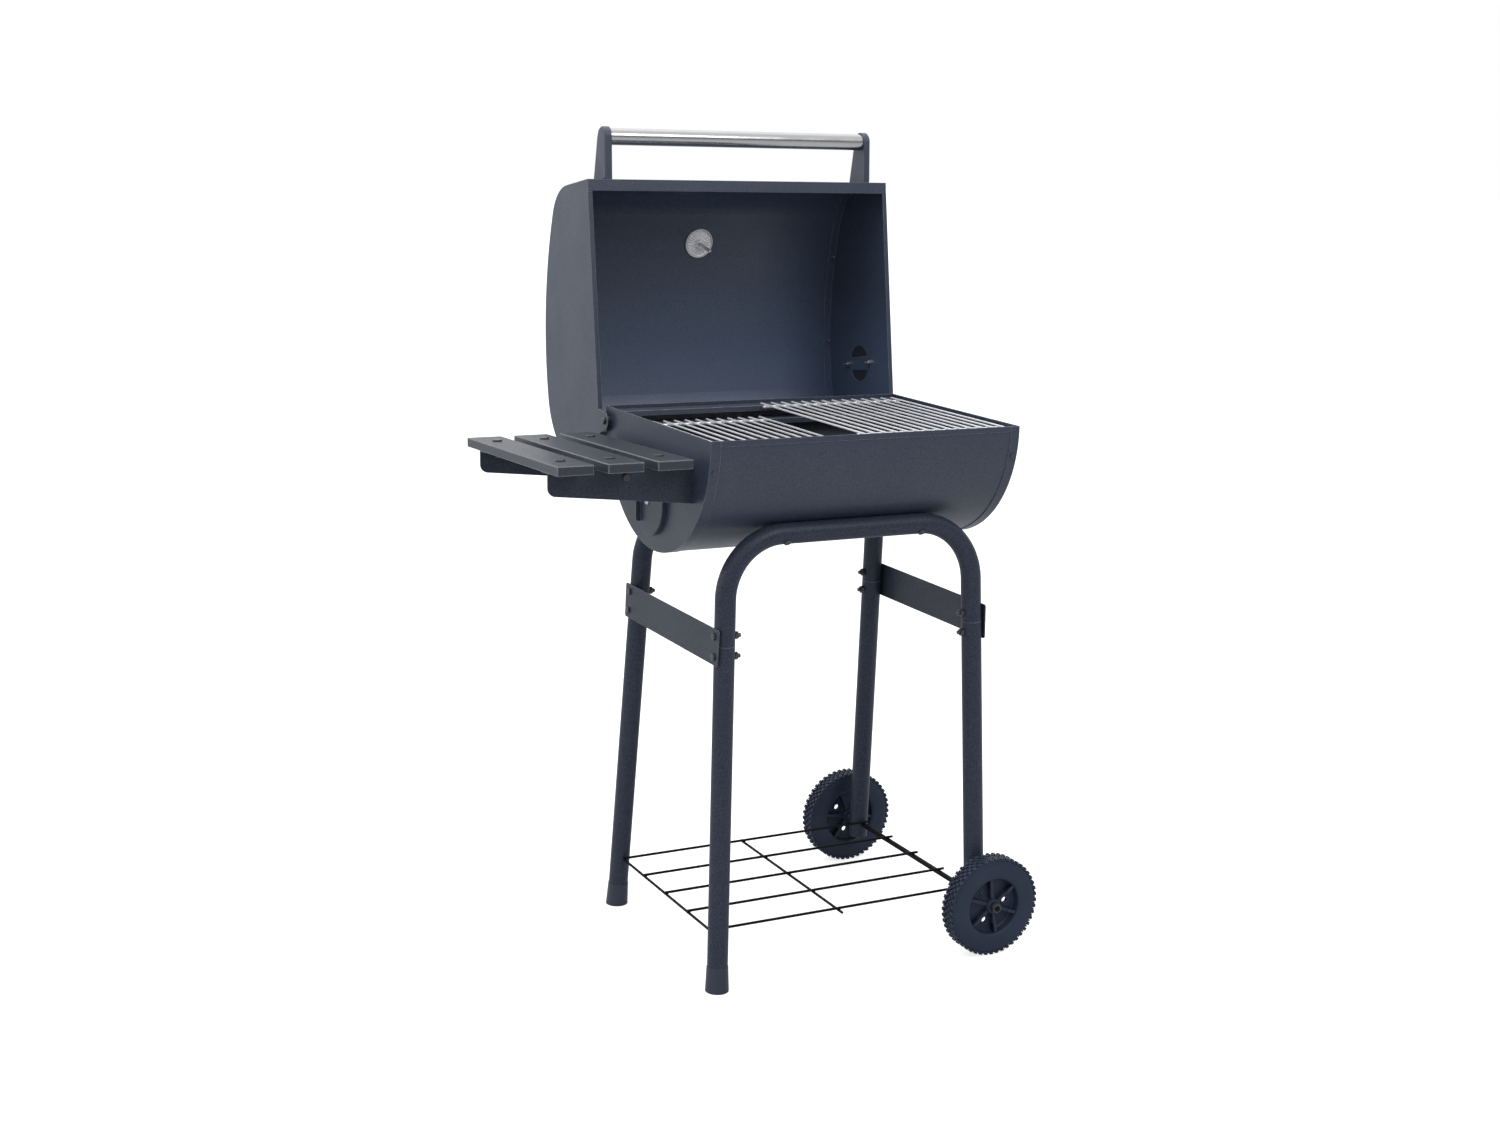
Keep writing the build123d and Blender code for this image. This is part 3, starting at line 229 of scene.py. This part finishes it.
def stained_wood(name):
    """Dark stained boards with grain along Y and a painted highlight along their edges, under a thin satin
    varnish.
    """
    g = Graph(name)
    edge_mask, rounded = g.edges(0.0012)
    warp = g.add("ShaderNodeTexNoise")
    warp.inputs["Scale"].default_value = 6.0
    g.link(g.coords, warp.inputs["Vector"])
    rings = g.add("ShaderNodeMix", data_type="VECTOR")
    rings.inputs["Factor"].default_value = 0.03
    g.link(g.mapped((1.0, 0.05, 1.0)), rings.inputs[4])
    g.link(warp.outputs["Color"], rings.inputs[5])
    grain = g.noise(330.0, 5.0, 0.65, rings.outputs[1])
    pores = g.span(g.noise(1500.0, 2.0, 0.5, g.mapped((1.0, 0.03, 1.0))), 0.55, 0.75)
    tone = g.mix(g.span(grain, 0.3, 0.7), (0.012, 0.016, 0.026), (0.023, 0.029, 0.044))
    tone = g.mix(g.math("MULTIPLY", pores, 0.5), tone, (0.008, 0.009, 0.013))
    # Painted highlight: pale colour along the boards' edges.
    tone = g.mix(g.math("MULTIPLY", edge_mask, 0.9), tone, (0.70, 0.74, 0.82))
    height = g.math("SUBTRACT", grain, g.math("MULTIPLY", pores, 0.8))
    g.set(Base_Color=tone, Roughness=g.span(grain, 0.3, 0.7, 0.40, 0.52))
    g.set(Coat_Weight=0.2, Coat_Roughness=0.3)
    g.set(Normal=g.bump(height, 0.22, 0.0008, rounded))
    return g.material


def clear_glass(name):
    """Slightly hazed glass."""
    g = Graph(name)
    haze = g.span(g.noise(30.0, 4.0), 0.35, 0.75, 0.02, 0.10)
    g.set(Base_Color=g.mix(haze, (0.96, 0.98, 0.98), (0.85, 0.88, 0.88)), Roughness=haze)
    g.set(Transmission_Weight=1.0, IOR=1.45, Normal=g.bump(g.noise(12.0, 2.0), 0.02, 0.001))
    return g.material


def printed(name, colour):
    """Enamel print on a dial."""
    g = Graph(name)
    spots = g.span(g.noise(300.0, 3.0), 0.4, 0.7)
    g.set(Base_Color=g.mix(g.math("MULTIPLY", spots, 0.2), colour, tuple(0.6 * c for c in colour)),
          Roughness=g.span(spots, 0, 1, 0.45, 0.55), Normal=g.bump(spots, 0.05, 0.0002))
    return g.material


# Edge colours: paler edges, partly rubbed wear and partly a painted highlight.
COAT_EDGE_WEAR_AND_HIGHLIGHT = (0.42, 0.46, 0.54)
# The ledges' paler edges are a painted highlight.
LEDGE_EDGE_HIGHLIGHT = (0.55, 0.58, 0.64)
TUBE_GRAIN = (0.04, 1, 1)
# Painted light on the lid's inner faces: a lighter, bluer coat than the outside.
LID_INSIDE_LIT = (0.030, 0.047, 0.086)
FRAME_BLUE = (0.008, 0.013, 0.030), (0.011, 0.017, 0.036)
BOX_BLUE = (0.010, 0.018, 0.041), (0.014, 0.023, 0.047)
LID_BLUE = (0.011, 0.020, 0.043), (0.015, 0.025, 0.051)
# Painted light: the ledges' coat is lighter than the firebox's, though it is the same paint.
LEDGE_BLUE_LIT = (0.020, 0.028, 0.050), (0.026, 0.035, 0.060)
BRACKET_BLUE = (0.007, 0.012, 0.027), (0.010, 0.016, 0.033)
FASTENER_BLACK = (0.014, 0.017, 0.024), (0.022, 0.026, 0.034)
# Paler fastener and wire edges: partly wear, partly a painted highlight.
FASTENER_EDGE_WEAR_AND_HIGHLIGHT = (0.20, 0.21, 0.24)
WIRE_BLACK = (0.003, 0.003, 0.005), (0.005, 0.005, 0.007)
WIRE_EDGE_WEAR_AND_HIGHLIGHT = (0.02, 0.02, 0.03)
mat_frame = powder_coat("frame_coat", *FRAME_BLUE, COAT_EDGE_WEAR_AND_HIGHLIGHT, 0.36, shine=0.18)
mat_box = powder_coat("firebox_coat", *BOX_BLUE, COAT_EDGE_WEAR_AND_HIGHLIGHT, 0.38, shine=0.40)
mat_lid = powder_coat("lid_coat", *LID_BLUE, COAT_EDGE_WEAR_AND_HIGHLIGHT, 0.36, shine=0.42, inside=LID_INSIDE_LIT)
mat_ledge = powder_coat("ledge_coat", *LEDGE_BLUE_LIT, LEDGE_EDGE_HIGHLIGHT, 0.34, edge_radius=0.0014)
mat_plate = powder_coat("bracket_coat", *BRACKET_BLUE, COAT_EDGE_WEAR_AND_HIGHLIGHT, 0.36, shine=0.22)
mat_bolt = powder_coat("black_fastener", *FASTENER_BLACK, FASTENER_EDGE_WEAR_AND_HIGHLIGHT, 0.30)
mat_wire = plated("bright_wire", (0.88, 0.88, 0.91), (0.74, 0.75, 0.78), 0.34, metal=0.45)
mat_black_wire = powder_coat("black_wire", *WIRE_BLACK, WIRE_EDGE_WEAR_AND_HIGHLIGHT, 0.5, shine=0.08)
mat_steel = plated("zinc_steel", (0.55, 0.55, 0.56), (0.36, 0.36, 0.37), 0.30)
mat_coal = plated("grey_wire", (0.10, 0.11, 0.13), (0.06, 0.06, 0.08), 0.42, metal=0.7)
mat_backplate = plated("pressed_steel", (0.86, 0.86, 0.88), (0.62, 0.62, 0.64), 0.38, metal=0.5)
mat_tube = plated("handle_steel", (0.47, 0.47, 0.48), (0.41, 0.41, 0.42), 0.15, TUBE_GRAIN)
mat_plastic = moulded("post_plastic", (0.028, 0.036, 0.058), (0.14, 0.16, 0.20), 0.40, 0.2)
mat_foot = moulded("foot_plastic", (0.026, 0.032, 0.050), (0.10, 0.11, 0.14), 0.32, 0.1, shine=0.3)
mat_wheel = moulded("wheel_plastic", (0.016, 0.024, 0.045), (0.22, 0.24, 0.30), 0.42, 0.3, shine=0.22)
mat_wood = stained_wood("stained_wood")
mat_glass = clear_glass("clear_glass")
mat_dial = printed("dial_white", (0.82, 0.82, 0.80))
mat_ink = printed("dial_ink", (0.02, 0.02, 0.02))
mat_red = printed("dial_red", (0.55, 0.04, 0.03))

NODE_MATERIALS = {
    mat_frame: ("front_frame_tube", "rear_frame_tube", "front_left_leg", "rear_left_leg", "front_right_leg",
                "rear_right_leg"),
    mat_foot: ("foot_caps", "wheel_spacers"),
    mat_bolt: ("side_plate_bolts", "side_plate_nuts", "frame_bolts", "frame_nuts", "firebox_end_screws",
               "hinge_spacers", "lid_stop_screws", "handle_screws", "slat_bolts", "slat_nuts",
               "bracket_bolts", "bracket_nuts", "axle_nuts", "hinge_bolts", "hinge_nuts", "lid_vent_cover"),
    mat_black_wire: ("wire_shelf", "axle"),
    mat_steel: ("damper_rivet", "lid_end_screws", "lid_vent_screws", "thermometer_stem"),
    mat_coal: ("charcoal_grate",),
    mat_box: ("firebox_shell", "firebox_left_end", "firebox_right_end", "firebox_damper"),
    mat_ledge: ("grate_ledges",),
    mat_plate: ("front_shelf_bracket", "rear_shelf_bracket", "left_side_plate", "right_side_plate"),
    mat_wood: ("outer_shelf_slat", "middle_shelf_slat", "inner_shelf_slat"),
    mat_lid: ("lid_shell", "lid_left_end", "lid_right_end"),
    mat_plastic: ("left_handle_post", "right_handle_post"),
    mat_tube: ("handle_tube", "thermometer_case"),
    mat_backplate: ("thermometer_backplate",),
    mat_wire: ("left_cooking_grate", "right_cooking_grate"),
    mat_dial: ("thermometer_dial",),
    mat_glass: ("thermometer_glass",),
    mat_red: ("thermometer_needle",),
    mat_wheel: ("front_wheel", "rear_wheel"),
}
for material, names in NODE_MATERIALS.items():
    for name in names:
        nodes[name].data.materials.clear()
        nodes[name].data.materials.append(material)


# ---------------------------------------------------------------- mesh helpers

SHARP = math.radians(32)


def finish_mesh(name, bm, material, body, *replaced):
    """Turns a bmesh into a piece on a body: smooth faces, with sharp edges kept sharp."""
    bmesh.ops.recalc_face_normals(bm, faces=bm.faces)
    for face in bm.faces:
        face.smooth = True
    for edge in bm.edges:
        edge.smooth = len(edge.link_faces) == 2 and edge.calc_face_angle(0) < SHARP
    mesh = bpy.data.meshes.new(name)
    bm.to_mesh(mesh)
    bm.free()
    mesh.materials.append(material)
    piece = bpy.data.objects.new(name, mesh)
    scene.collection.objects.link(piece)
    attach(piece, body)
    if replaced:
        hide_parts(*replaced)
    return piece


def lathe(bm, profile, segments, matrix, ripple=None):
    """Revolves a closed profile of (radius, height) points about local Z. ripple moves a point along Z."""
    rings = []
    for k in range(segments):
        turn = 2 * math.pi * k / segments
        ring = []
        for r, z in profile:
            lift = ripple(r, turn) if ripple else 0.0
            ring.append(bm.verts.new(matrix @ Vector((r * math.cos(turn), r * math.sin(turn), z + lift))))
        rings.append(ring)
    count = len(profile)
    for k in range(segments):
        here, there = rings[k], rings[(k + 1) % segments]
        for i in range(count):
            j = (i + 1) % count
            bm.faces.new((here[i], here[j], there[j], there[i]))


def soft_block(bm, size, matrix, bevel):
    """A box with rounded edges, sized in millimetres and added to bm."""
    part = bmesh.new()
    bmesh.ops.create_cube(part, size=1.0)
    bmesh.ops.scale(part, vec=[v * MM for v in size], verts=part.verts)
    bmesh.ops.bevel(part, geom=part.edges[:], offset=bevel * MM, segments=2, affect="EDGES", profile=0.6)
    copy_into(bm, part, matrix)


def copy_into(bm, part, matrix):
    """Adds a bmesh to another one through a matrix, and frees it."""
    made = [bm.verts.new(matrix @ v.co) for v in part.verts]
    part.verts.index_update()
    for face in part.faces:
        bm.faces.new([made[v.index] for v in face.verts])
    part.free()


def basis(origin, x_dir, z_dir):
    """A matrix whose local Z and X follow the two directions."""
    z = Vector(z_dir).normalized()
    x = (Vector(x_dir) - z * z.dot(Vector(x_dir))).normalized()
    turn = Matrix((x, z.cross(x), z)).transposed().to_4x4()
    return Matrix.Translation(origin) @ turn


def polar(radius, angle, height):
    """A local matrix at an angle in degrees about Z, with X pointing outwards and lengths in millimetres."""
    return Matrix.Rotation(math.radians(angle), 4, "Z") @ Matrix.Translation((radius * MM, 0, height * MM))


def in_metres(points):
    """A profile drawn in millimetres, in metres."""
    return [(r * MM, z * MM) for r, z in points]


# ---------------------------------------------------------------- wheels

# Millimetres, with tilts in radians. A size is radial, around the wheel and across it.
LUGS = 48
SHOULDER_LUG = (4.6, 5.2, 5.4)
LUG_REACH = 73.5
LUG_ROW = 11.4
LUG_TILT = 0.08
CLEAT = (3.8, 3.0, 1.8)
CLEAT_REACH = 71.6
CLEAT_ROW = 13.3
SIDE_BLOCK = (4.6, 5.4, 3.4)
MIDDLE_BLOCK = (4.6, 5.4, 3.6)
BLOCK_REACH = 73.4
BLOCK_ROW = 5.7
BLOCK_SLANT = 0.5
RIBS = 6
RIB_THICKNESS = 4.6
RIB_STEPS = ((27, 33, 9.6), (35.5, 15, 11.4))
WEB_HALF = 0.9
WEB_HOLES = 3
WEB_HOLE_REACH = 25
WEB_HOLE_RADIUS = 4.6


def wheel_profile():
    """The wheel's cross-section: its rim and web are the same on both faces, and its outer face is at +z."""
    rim = [(39.4, 1.8), (41.4, 3.2), (42.6, 8.5), (43.6, 12.6), (45.5, 14.2), (49, 14.7), (58, 15), (66, 15),
           (69.5, 14.2), (72.4, 12.2), (73.4, 9.5)]
    outer_hub = [(14, 1.8), (12, 3), (10.8, 12.2), (10, 13.2), (7.4, 13.2), (6.9, 12.4), (4.3, 12.4),
                 (4.05, 12)]
    inner_hub = [(4.05, -12), (4.6, -13), (9.6, -13), (10.8, -12), (12, -3), (14, -1.8)]
    return in_metres(rim[::-1] + outer_hub + inner_hub + [(r, -z) for r, z in rim])


def tread(bm, matrix):
    """Shoulder lugs over both edges, and three staggered rows of slanted blocks between them."""
    pitch = 360 / LUGS
    for k in range(LUGS):
        between = (k + 0.5) * pitch
        for side in (-1, 1):
            lug = polar(LUG_REACH, k * pitch, side * LUG_ROW) @ Matrix.Rotation(side * LUG_TILT, 4, "Y")
            soft_block(bm, SHOULDER_LUG, matrix @ lug, 0.8)
            soft_block(bm, CLEAT, matrix @ polar(CLEAT_REACH, between, side * CLEAT_ROW), 0.5)
            slant = Matrix.Rotation(side * BLOCK_SLANT, 4, "X")
            soft_block(bm, SIDE_BLOCK, matrix @ polar(BLOCK_REACH, between, side * BLOCK_ROW) @ slant, 0.7)
        block = polar(BLOCK_REACH, k * pitch, 0) @ Matrix.Rotation(-BLOCK_SLANT, 4, "X")
        soft_block(bm, MIDDLE_BLOCK, matrix @ block, 0.7)


def ribs(bm, matrix, first_angle):
    """Stepped ribs on both faces of the web, from the hub to the rim."""
    for k in range(RIBS):
        for side in (-1, 1):
            for reach, length, top in RIB_STEPS:
                place = polar(reach, first_angle + k * 360 / RIBS, side * (WEB_HALF + top / 2))
                soft_block(bm, (length, RIB_THICKNESS, top), matrix @ place, 0.8)


def web_hole_places(matrix, first_angle):
    return [matrix @ polar(WEB_HOLE_REACH, first_angle + k * 360 / WEB_HOLES, 0) for k in range(WEB_HOLES)]


def wheel(name, side, hole_angle):
    """One wheel: its drilled moulding, its tread and its ribs."""
    low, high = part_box(name)
    centre = (low + high) / 2
    matrix = basis(centre, (-side, 0, 0), (0, side, 0))
    bm = bmesh.new()
    lathe(bm, wheel_profile(), 120, matrix)
    body = finish_mesh(name + "_moulding", bm, mat_wheel, name, name)
    cutter = bmesh.new()
    for place in web_hole_places(matrix, hole_angle):
        radius = WEB_HOLE_RADIUS * MM
        bmesh.ops.create_cone(cutter, segments=32, radius1=radius, radius2=radius, depth=12 * MM,
                              cap_ends=True, matrix=place)
    drill(body, cutter)
    bm = bmesh.new()
    tread(bm, matrix)
    finish_mesh(name + "_tread_lugs", bm, mat_wheel, name)
    bm = bmesh.new()
    ribs(bm, matrix, hole_angle + 180 / RIBS)
    collar = [(4.6, -2.6), (6.4, -2.6), (6.8, -1.5), (6.8, 1.5), (6.4, 2.6), (4.6, 2.6)]
    for place in web_hole_places(matrix, hole_angle):
        lathe(bm, in_metres(collar), 32, place)
    finish_mesh(name + "_ribs", bm, mat_wheel, name)


def drill(piece, cutter_bm):
    """Cuts a closed bmesh out of a piece, and applies the cut."""
    mesh = bpy.data.meshes.new("cutter")
    cutter_bm.to_mesh(mesh)
    cutter_bm.free()
    cutter = bpy.data.objects.new("cutter", mesh)
    scene.collection.objects.link(cutter)
    cut = piece.modifiers.new("holes", "BOOLEAN")
    cut.object = cutter
    cut.solver = "EXACT"
    bpy.context.view_layer.update()
    done = bpy.data.meshes.new_from_object(piece.evaluated_get(bpy.context.evaluated_depsgraph_get()))
    piece.modifiers.clear()
    piece.data = done
    bpy.data.objects.remove(cutter)
    bpy.data.meshes.remove(mesh)


wheel("front_wheel", -1, 8.5)
wheel("rear_wheel", 1, 38.0)


# ---------------------------------------------------------------- thermometer

gauge_joint = next(j for j in frame["joints"] if j["name"] == "needle_turn")
GAUGE = basis(gauge_joint["pos_m"], (1, 0, 0), [-v for v in gauge_joint["axis"]])
# Angles are in degrees and lengths in millimetres.
COLD_ANGLE = 220.0
SWEEP = 260.0
HOTTEST = 300
HOT_SHARE = 0.72
INK_LEVEL = 8.66
INK_THICKNESS = 0.08
TICK_REACH = 22.6
NUMBER_REACH = 15.4
NUMBER_SIZE = 4.6
BAND_RADII = (10.6, 11.4)
FLUTES = 24
FLUTE_DEPTH = 0.35
WASHER_NUT_RADIUS = 7.4


def scale_angle(reading):
    """The angle of a reading on the dial, in degrees."""
    return COLD_ANGLE - SWEEP * reading / HOTTEST


def flat_arc(bm, inner, outer, start, end, height, steps=48):
    """A thin arc on the dial, between two angles in degrees."""
    rows = []
    for k in range(steps + 1):
        place = GAUGE @ Matrix.Rotation(math.radians(start + (end - start) * k / steps), 4, "Z")
        rows.append([bm.verts.new(place @ Vector((r * MM, 0, height * MM))) for r in (inner, outer)])
    for here, there in zip(rows, rows[1:]):
        bm.faces.new((here[0], here[1], there[1], there[0]))


def add_number(bm, reading):
    """Adds a reading's digits to bm, at their place on the dial."""
    text = bpy.data.curves.new("number", "FONT")
    text.body = str(reading)
    text.size = NUMBER_SIZE * MM
    text.align_x = "CENTER"
    text.align_y = "CENTER"
    letters = bpy.data.objects.new("number", text)
    scene.collection.objects.link(letters)
    bpy.context.view_layer.update()
    flat = bpy.data.meshes.new_from_object(letters.evaluated_get(bpy.context.evaluated_depsgraph_get()))
    part = bmesh.new()
    part.from_mesh(flat)
    angle = math.radians(scale_angle(reading))
    reach = NUMBER_REACH * MM
    place = Matrix.Translation((reach * math.cos(angle), reach * math.sin(angle), INK_LEVEL * MM))
    copy_into(bm, part, GAUGE @ place)
    bpy.data.objects.remove(letters)
    bpy.data.curves.remove(text)
    bpy.data.meshes.remove(flat)


def dial_print():
    """Scale ticks, numbers and a hot band, printed just above the dial."""
    bm = bmesh.new()
    for reading in range(0, HOTTEST + 1, 10):
        length, width = (3.2, 0.7) if reading % 50 == 0 else (1.8, 0.35)
        tick = polar(TICK_REACH - length / 2, scale_angle(reading), INK_LEVEL)
        soft_block(bm, (length, width, INK_THICKNESS), GAUGE @ tick, 0.03)
    for reading in range(0, HOTTEST + 1, 50):
        add_number(bm, reading)
    finish_mesh("dial_scale", bm, mat_ink, "lid")
    bm = bmesh.new()
    flat_arc(bm, *BAND_RADII, scale_angle(HOT_SHARE * HOTTEST), scale_angle(HOTTEST), INK_LEVEL)
    finish_mesh("dial_hot_band", bm, mat_red, "lid")


def backplate():
    """A pressed steel washer with radial flutes, a rolled rim and a hexagon nut."""
    bm = bmesh.new()
    section = [(4.1, -1.75), (23.4, -1.75), (24.0, -2.2), (24.0, -3.6), (23.4, -4.6), (22.4, -4.6),
               (21.8, -3.8), (20.5, -2.9), (17, -2.9), (13, -3.1), (10, -3.5), (8.2, -3.7), (4.1, -3.7)]

    def flutes(r, turn):
        inside = 9.5 * MM < r < 19 * MM
        return FLUTE_DEPTH * MM * math.cos(FLUTES * turn) if inside else 0.0

    lathe(bm, in_metres(section), 192, GAUGE, flutes)
    part = bmesh.new()
    radius = WASHER_NUT_RADIUS * MM
    bmesh.ops.create_cone(part, segments=6, radius1=radius, radius2=radius, depth=3.6 * MM, cap_ends=True)
    bmesh.ops.bevel(part, geom=part.edges[:], offset=0.5 * MM, segments=2, affect="EDGES")
    copy_into(bm, part, GAUGE @ Matrix.Translation((0, 0, -5.4 * MM)))
    finish_mesh("thermometer_pressed_plate", bm, mat_backplate, "lid", "thermometer_backplate")


dial_print()
backplate()


# ---------------------------------------------------------------- weld beads

GRATE_BARS = 14
GRATE_PITCH = 17.9 * MM
BAR_RADIUS = 1.5 * MM
CROSS_RADIUS = 2.0 * MM
CROSS_OVERHANG = 5 * MM
CROSS_INSET = 17 * MM
SHELF_WIRE_RADIUS = 2 * MM
SHELF_WIRE_SPACING = 77.5 * MM
MIDDLE_WIRE_X = -8 * MM
BEAD_UNEVENNESS = 0.07


def bead(bm, place, radius):
    """A small uneven blob of weld metal."""
    part = bmesh.new()
    bmesh.ops.create_icosphere(part, subdivisions=2, radius=radius)
    for v in part.verts:
        v.co *= 1 + rng.uniform(-BEAD_UNEVENNESS, BEAD_UNEVENNESS)
    copy_into(bm, part, Matrix.Translation(place))


def grate_welds(name, body):
    """Two beads where each bar crosses a cross wire."""
    low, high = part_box(name)
    cross_y = high.y - CROSS_INSET
    level = (low.z + CROSS_RADIUS + high.z - BAR_RADIUS) / 2
    bm = bmesh.new()
    for i in range(GRATE_BARS):
        bar_x = low.x + CROSS_OVERHANG + i * GRATE_PITCH
        for side in (-1, 1):
            for edge in (-1, 1):
                bead(bm, (bar_x + edge * 1.2 * MM, side * cross_y, level), 1.0 * MM)
    finish_mesh(name + "_welds", bm, mat_wire, body)


def shelf_welds():
    """Two beads where each long wire crosses a cross wire."""
    low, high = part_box("wire_shelf")
    level = (low.z + high.z) / 2
    bm = bmesh.new()
    for x in (low.x + SHELF_WIRE_RADIUS, MIDDLE_WIRE_X):
        for i in range(-2, 3):
            for edge in (-1, 1):
                bead(bm, (x + edge * 1.5 * MM, i * SHELF_WIRE_SPACING, level), 1.5 * MM)
    finish_mesh("wire_shelf_welds", bm, mat_black_wire, "stand")


grate_welds("left_cooking_grate", "left_grate")
grate_welds("right_cooking_grate", "right_grate")
shelf_welds()


# ---------------------------------------------------------------- stage, light and camera

AIM = Vector((0, 0, 0.75))
FLOOR_GLOW = 0.72
SKY_FRONT = 0.30
SKY_BACK = 0.90
SKY_TOP = 0.75
SKY_LEFT = 0.22
CAMERA_PLACE = (-1.4357, -2.5822, 1.2192)
CAMERA_YAW = 27.483
CAMERA_PITCH = 12.411
CAMERA_ROLL = 1.690
CAMERA_LENS = 48.588


def floor_material():
    """White to the camera, with a faint contact shadow, and a pale grey to every other ray."""
    g = Graph("studio_floor")
    g.set(Base_Color=g.mix(g.noise(0.6, 2.0), (0.48, 0.49, 0.50), (0.52, 0.53, 0.54)), Roughness=0.9)
    glow = g.add("ShaderNodeEmission")
    glow.inputs["Strength"].default_value = FLOOR_GLOW
    both = g.add("ShaderNodeAddShader")
    g.link(g.shader.outputs[0], both.inputs[0])
    g.link(glow.outputs[0], both.inputs[1])
    pick = g.add("ShaderNodeMixShader")
    g.link(g.add("ShaderNodeLightPath").outputs["Is Camera Ray"], pick.inputs[0])
    g.link(g.shader.outputs[0], pick.inputs[1])
    g.link(both.outputs[0], pick.inputs[2])
    g.link(pick.outputs[0], g.out.inputs["Surface"])
    return g.material


def studio_world():
    """A white backdrop to the camera; to other rays, dim in front, and bright behind and above."""
    world = bpy.data.worlds.new("studio")
    scene.world = world
    world.use_nodes = True
    tree = world.node_tree
    background = tree.nodes["Background"]
    background.inputs["Color"].default_value = (1, 1, 1, 1)

    def ramp(value, low, high, out_low, out_high):
        node = tree.nodes.new("ShaderNodeMapRange")
        node.interpolation_type = "SMOOTHSTEP"
        tree.links.new(value, node.inputs["Value"])
        set_range(node, low, high, out_low, out_high)
        return node.outputs["Result"]

    def add(a, b):
        node = tree.nodes.new("ShaderNodeMath")
        tree.links.new(a, node.inputs[0])
        tree.links.new(b, node.inputs[1])
        return node.outputs[0]

    split = tree.nodes.new("ShaderNodeSeparateXYZ")
    tree.links.new(tree.nodes.new("ShaderNodeTexCoord").outputs["Generated"], split.inputs[0])
    total = ramp(split.outputs["Y"], -0.3, 0.5, SKY_FRONT, SKY_BACK)
    total = add(total, ramp(split.outputs["Z"], 0.15, 0.8, 0.0, SKY_TOP))
    total = add(total, ramp(split.outputs["X"], 0.5, -0.6, 0.0, SKY_LEFT))
    pick = tree.nodes.new("ShaderNodeMix")
    pick.data_type = "FLOAT"
    tree.links.new(tree.nodes.new("ShaderNodeLightPath").outputs["Is Camera Ray"], pick.inputs["Factor"])
    tree.links.new(total, pick.inputs[2])
    pick.inputs[3].default_value = 1.0
    tree.links.new(pick.outputs[0], background.inputs["Strength"])


def softbox(name, place, size, power):
    """A square light that points at the middle of the grill."""
    light = bpy.data.lights.new(name, "AREA")
    light.size = size
    light.energy = power
    lamp = bpy.data.objects.new(name, light)
    scene.collection.objects.link(lamp)
    lamp.location = place
    lamp.rotation_euler = (AIM - Vector(place)).to_track_quat("-Z", "Y").to_euler()


def studio():
    bpy.ops.mesh.primitive_plane_add(size=60, location=(0, 0, -0.0005))
    floor = bpy.context.object
    floor.name = "studio_floor"
    floor.data.materials.append(floor_material())
    studio_world()
    softbox("top_softbox", (-0.6, 0.2, 3.2), size=1.8, power=30)
    softbox("left_softbox", (-3.0, 0.4, 1.6), size=1.6, power=9)
    softbox("front_softbox", (0.9, -2.6, 3.0), size=1.4, power=28)


def camera():
    """The camera, turned right by the yaw, down by the pitch and then rolled."""
    yaw, pitch, roll = (math.radians(a) for a in (CAMERA_YAW, CAMERA_PITCH, CAMERA_ROLL))
    forward = Vector((math.sin(yaw) * math.cos(pitch), math.cos(yaw) * math.cos(pitch), -math.sin(pitch)))
    level_right = Vector((math.cos(yaw), -math.sin(yaw), 0))
    level_up = level_right.cross(forward)
    right = math.cos(roll) * level_right + math.sin(roll) * level_up
    up = -math.sin(roll) * level_right + math.cos(roll) * level_up
    data = bpy.data.cameras.new("camera")
    data.sensor_width = 36.0
    data.lens = CAMERA_LENS
    data.clip_start = 0.01
    eye = bpy.data.objects.new("camera", data)
    scene.collection.objects.link(eye)
    turn = Matrix((right, up, -forward)).transposed().to_4x4()
    eye.matrix_world = Matrix.Translation(CAMERA_PLACE) @ turn
    scene.camera = eye


studio()
camera()
scene.view_settings.view_transform = "Standard"
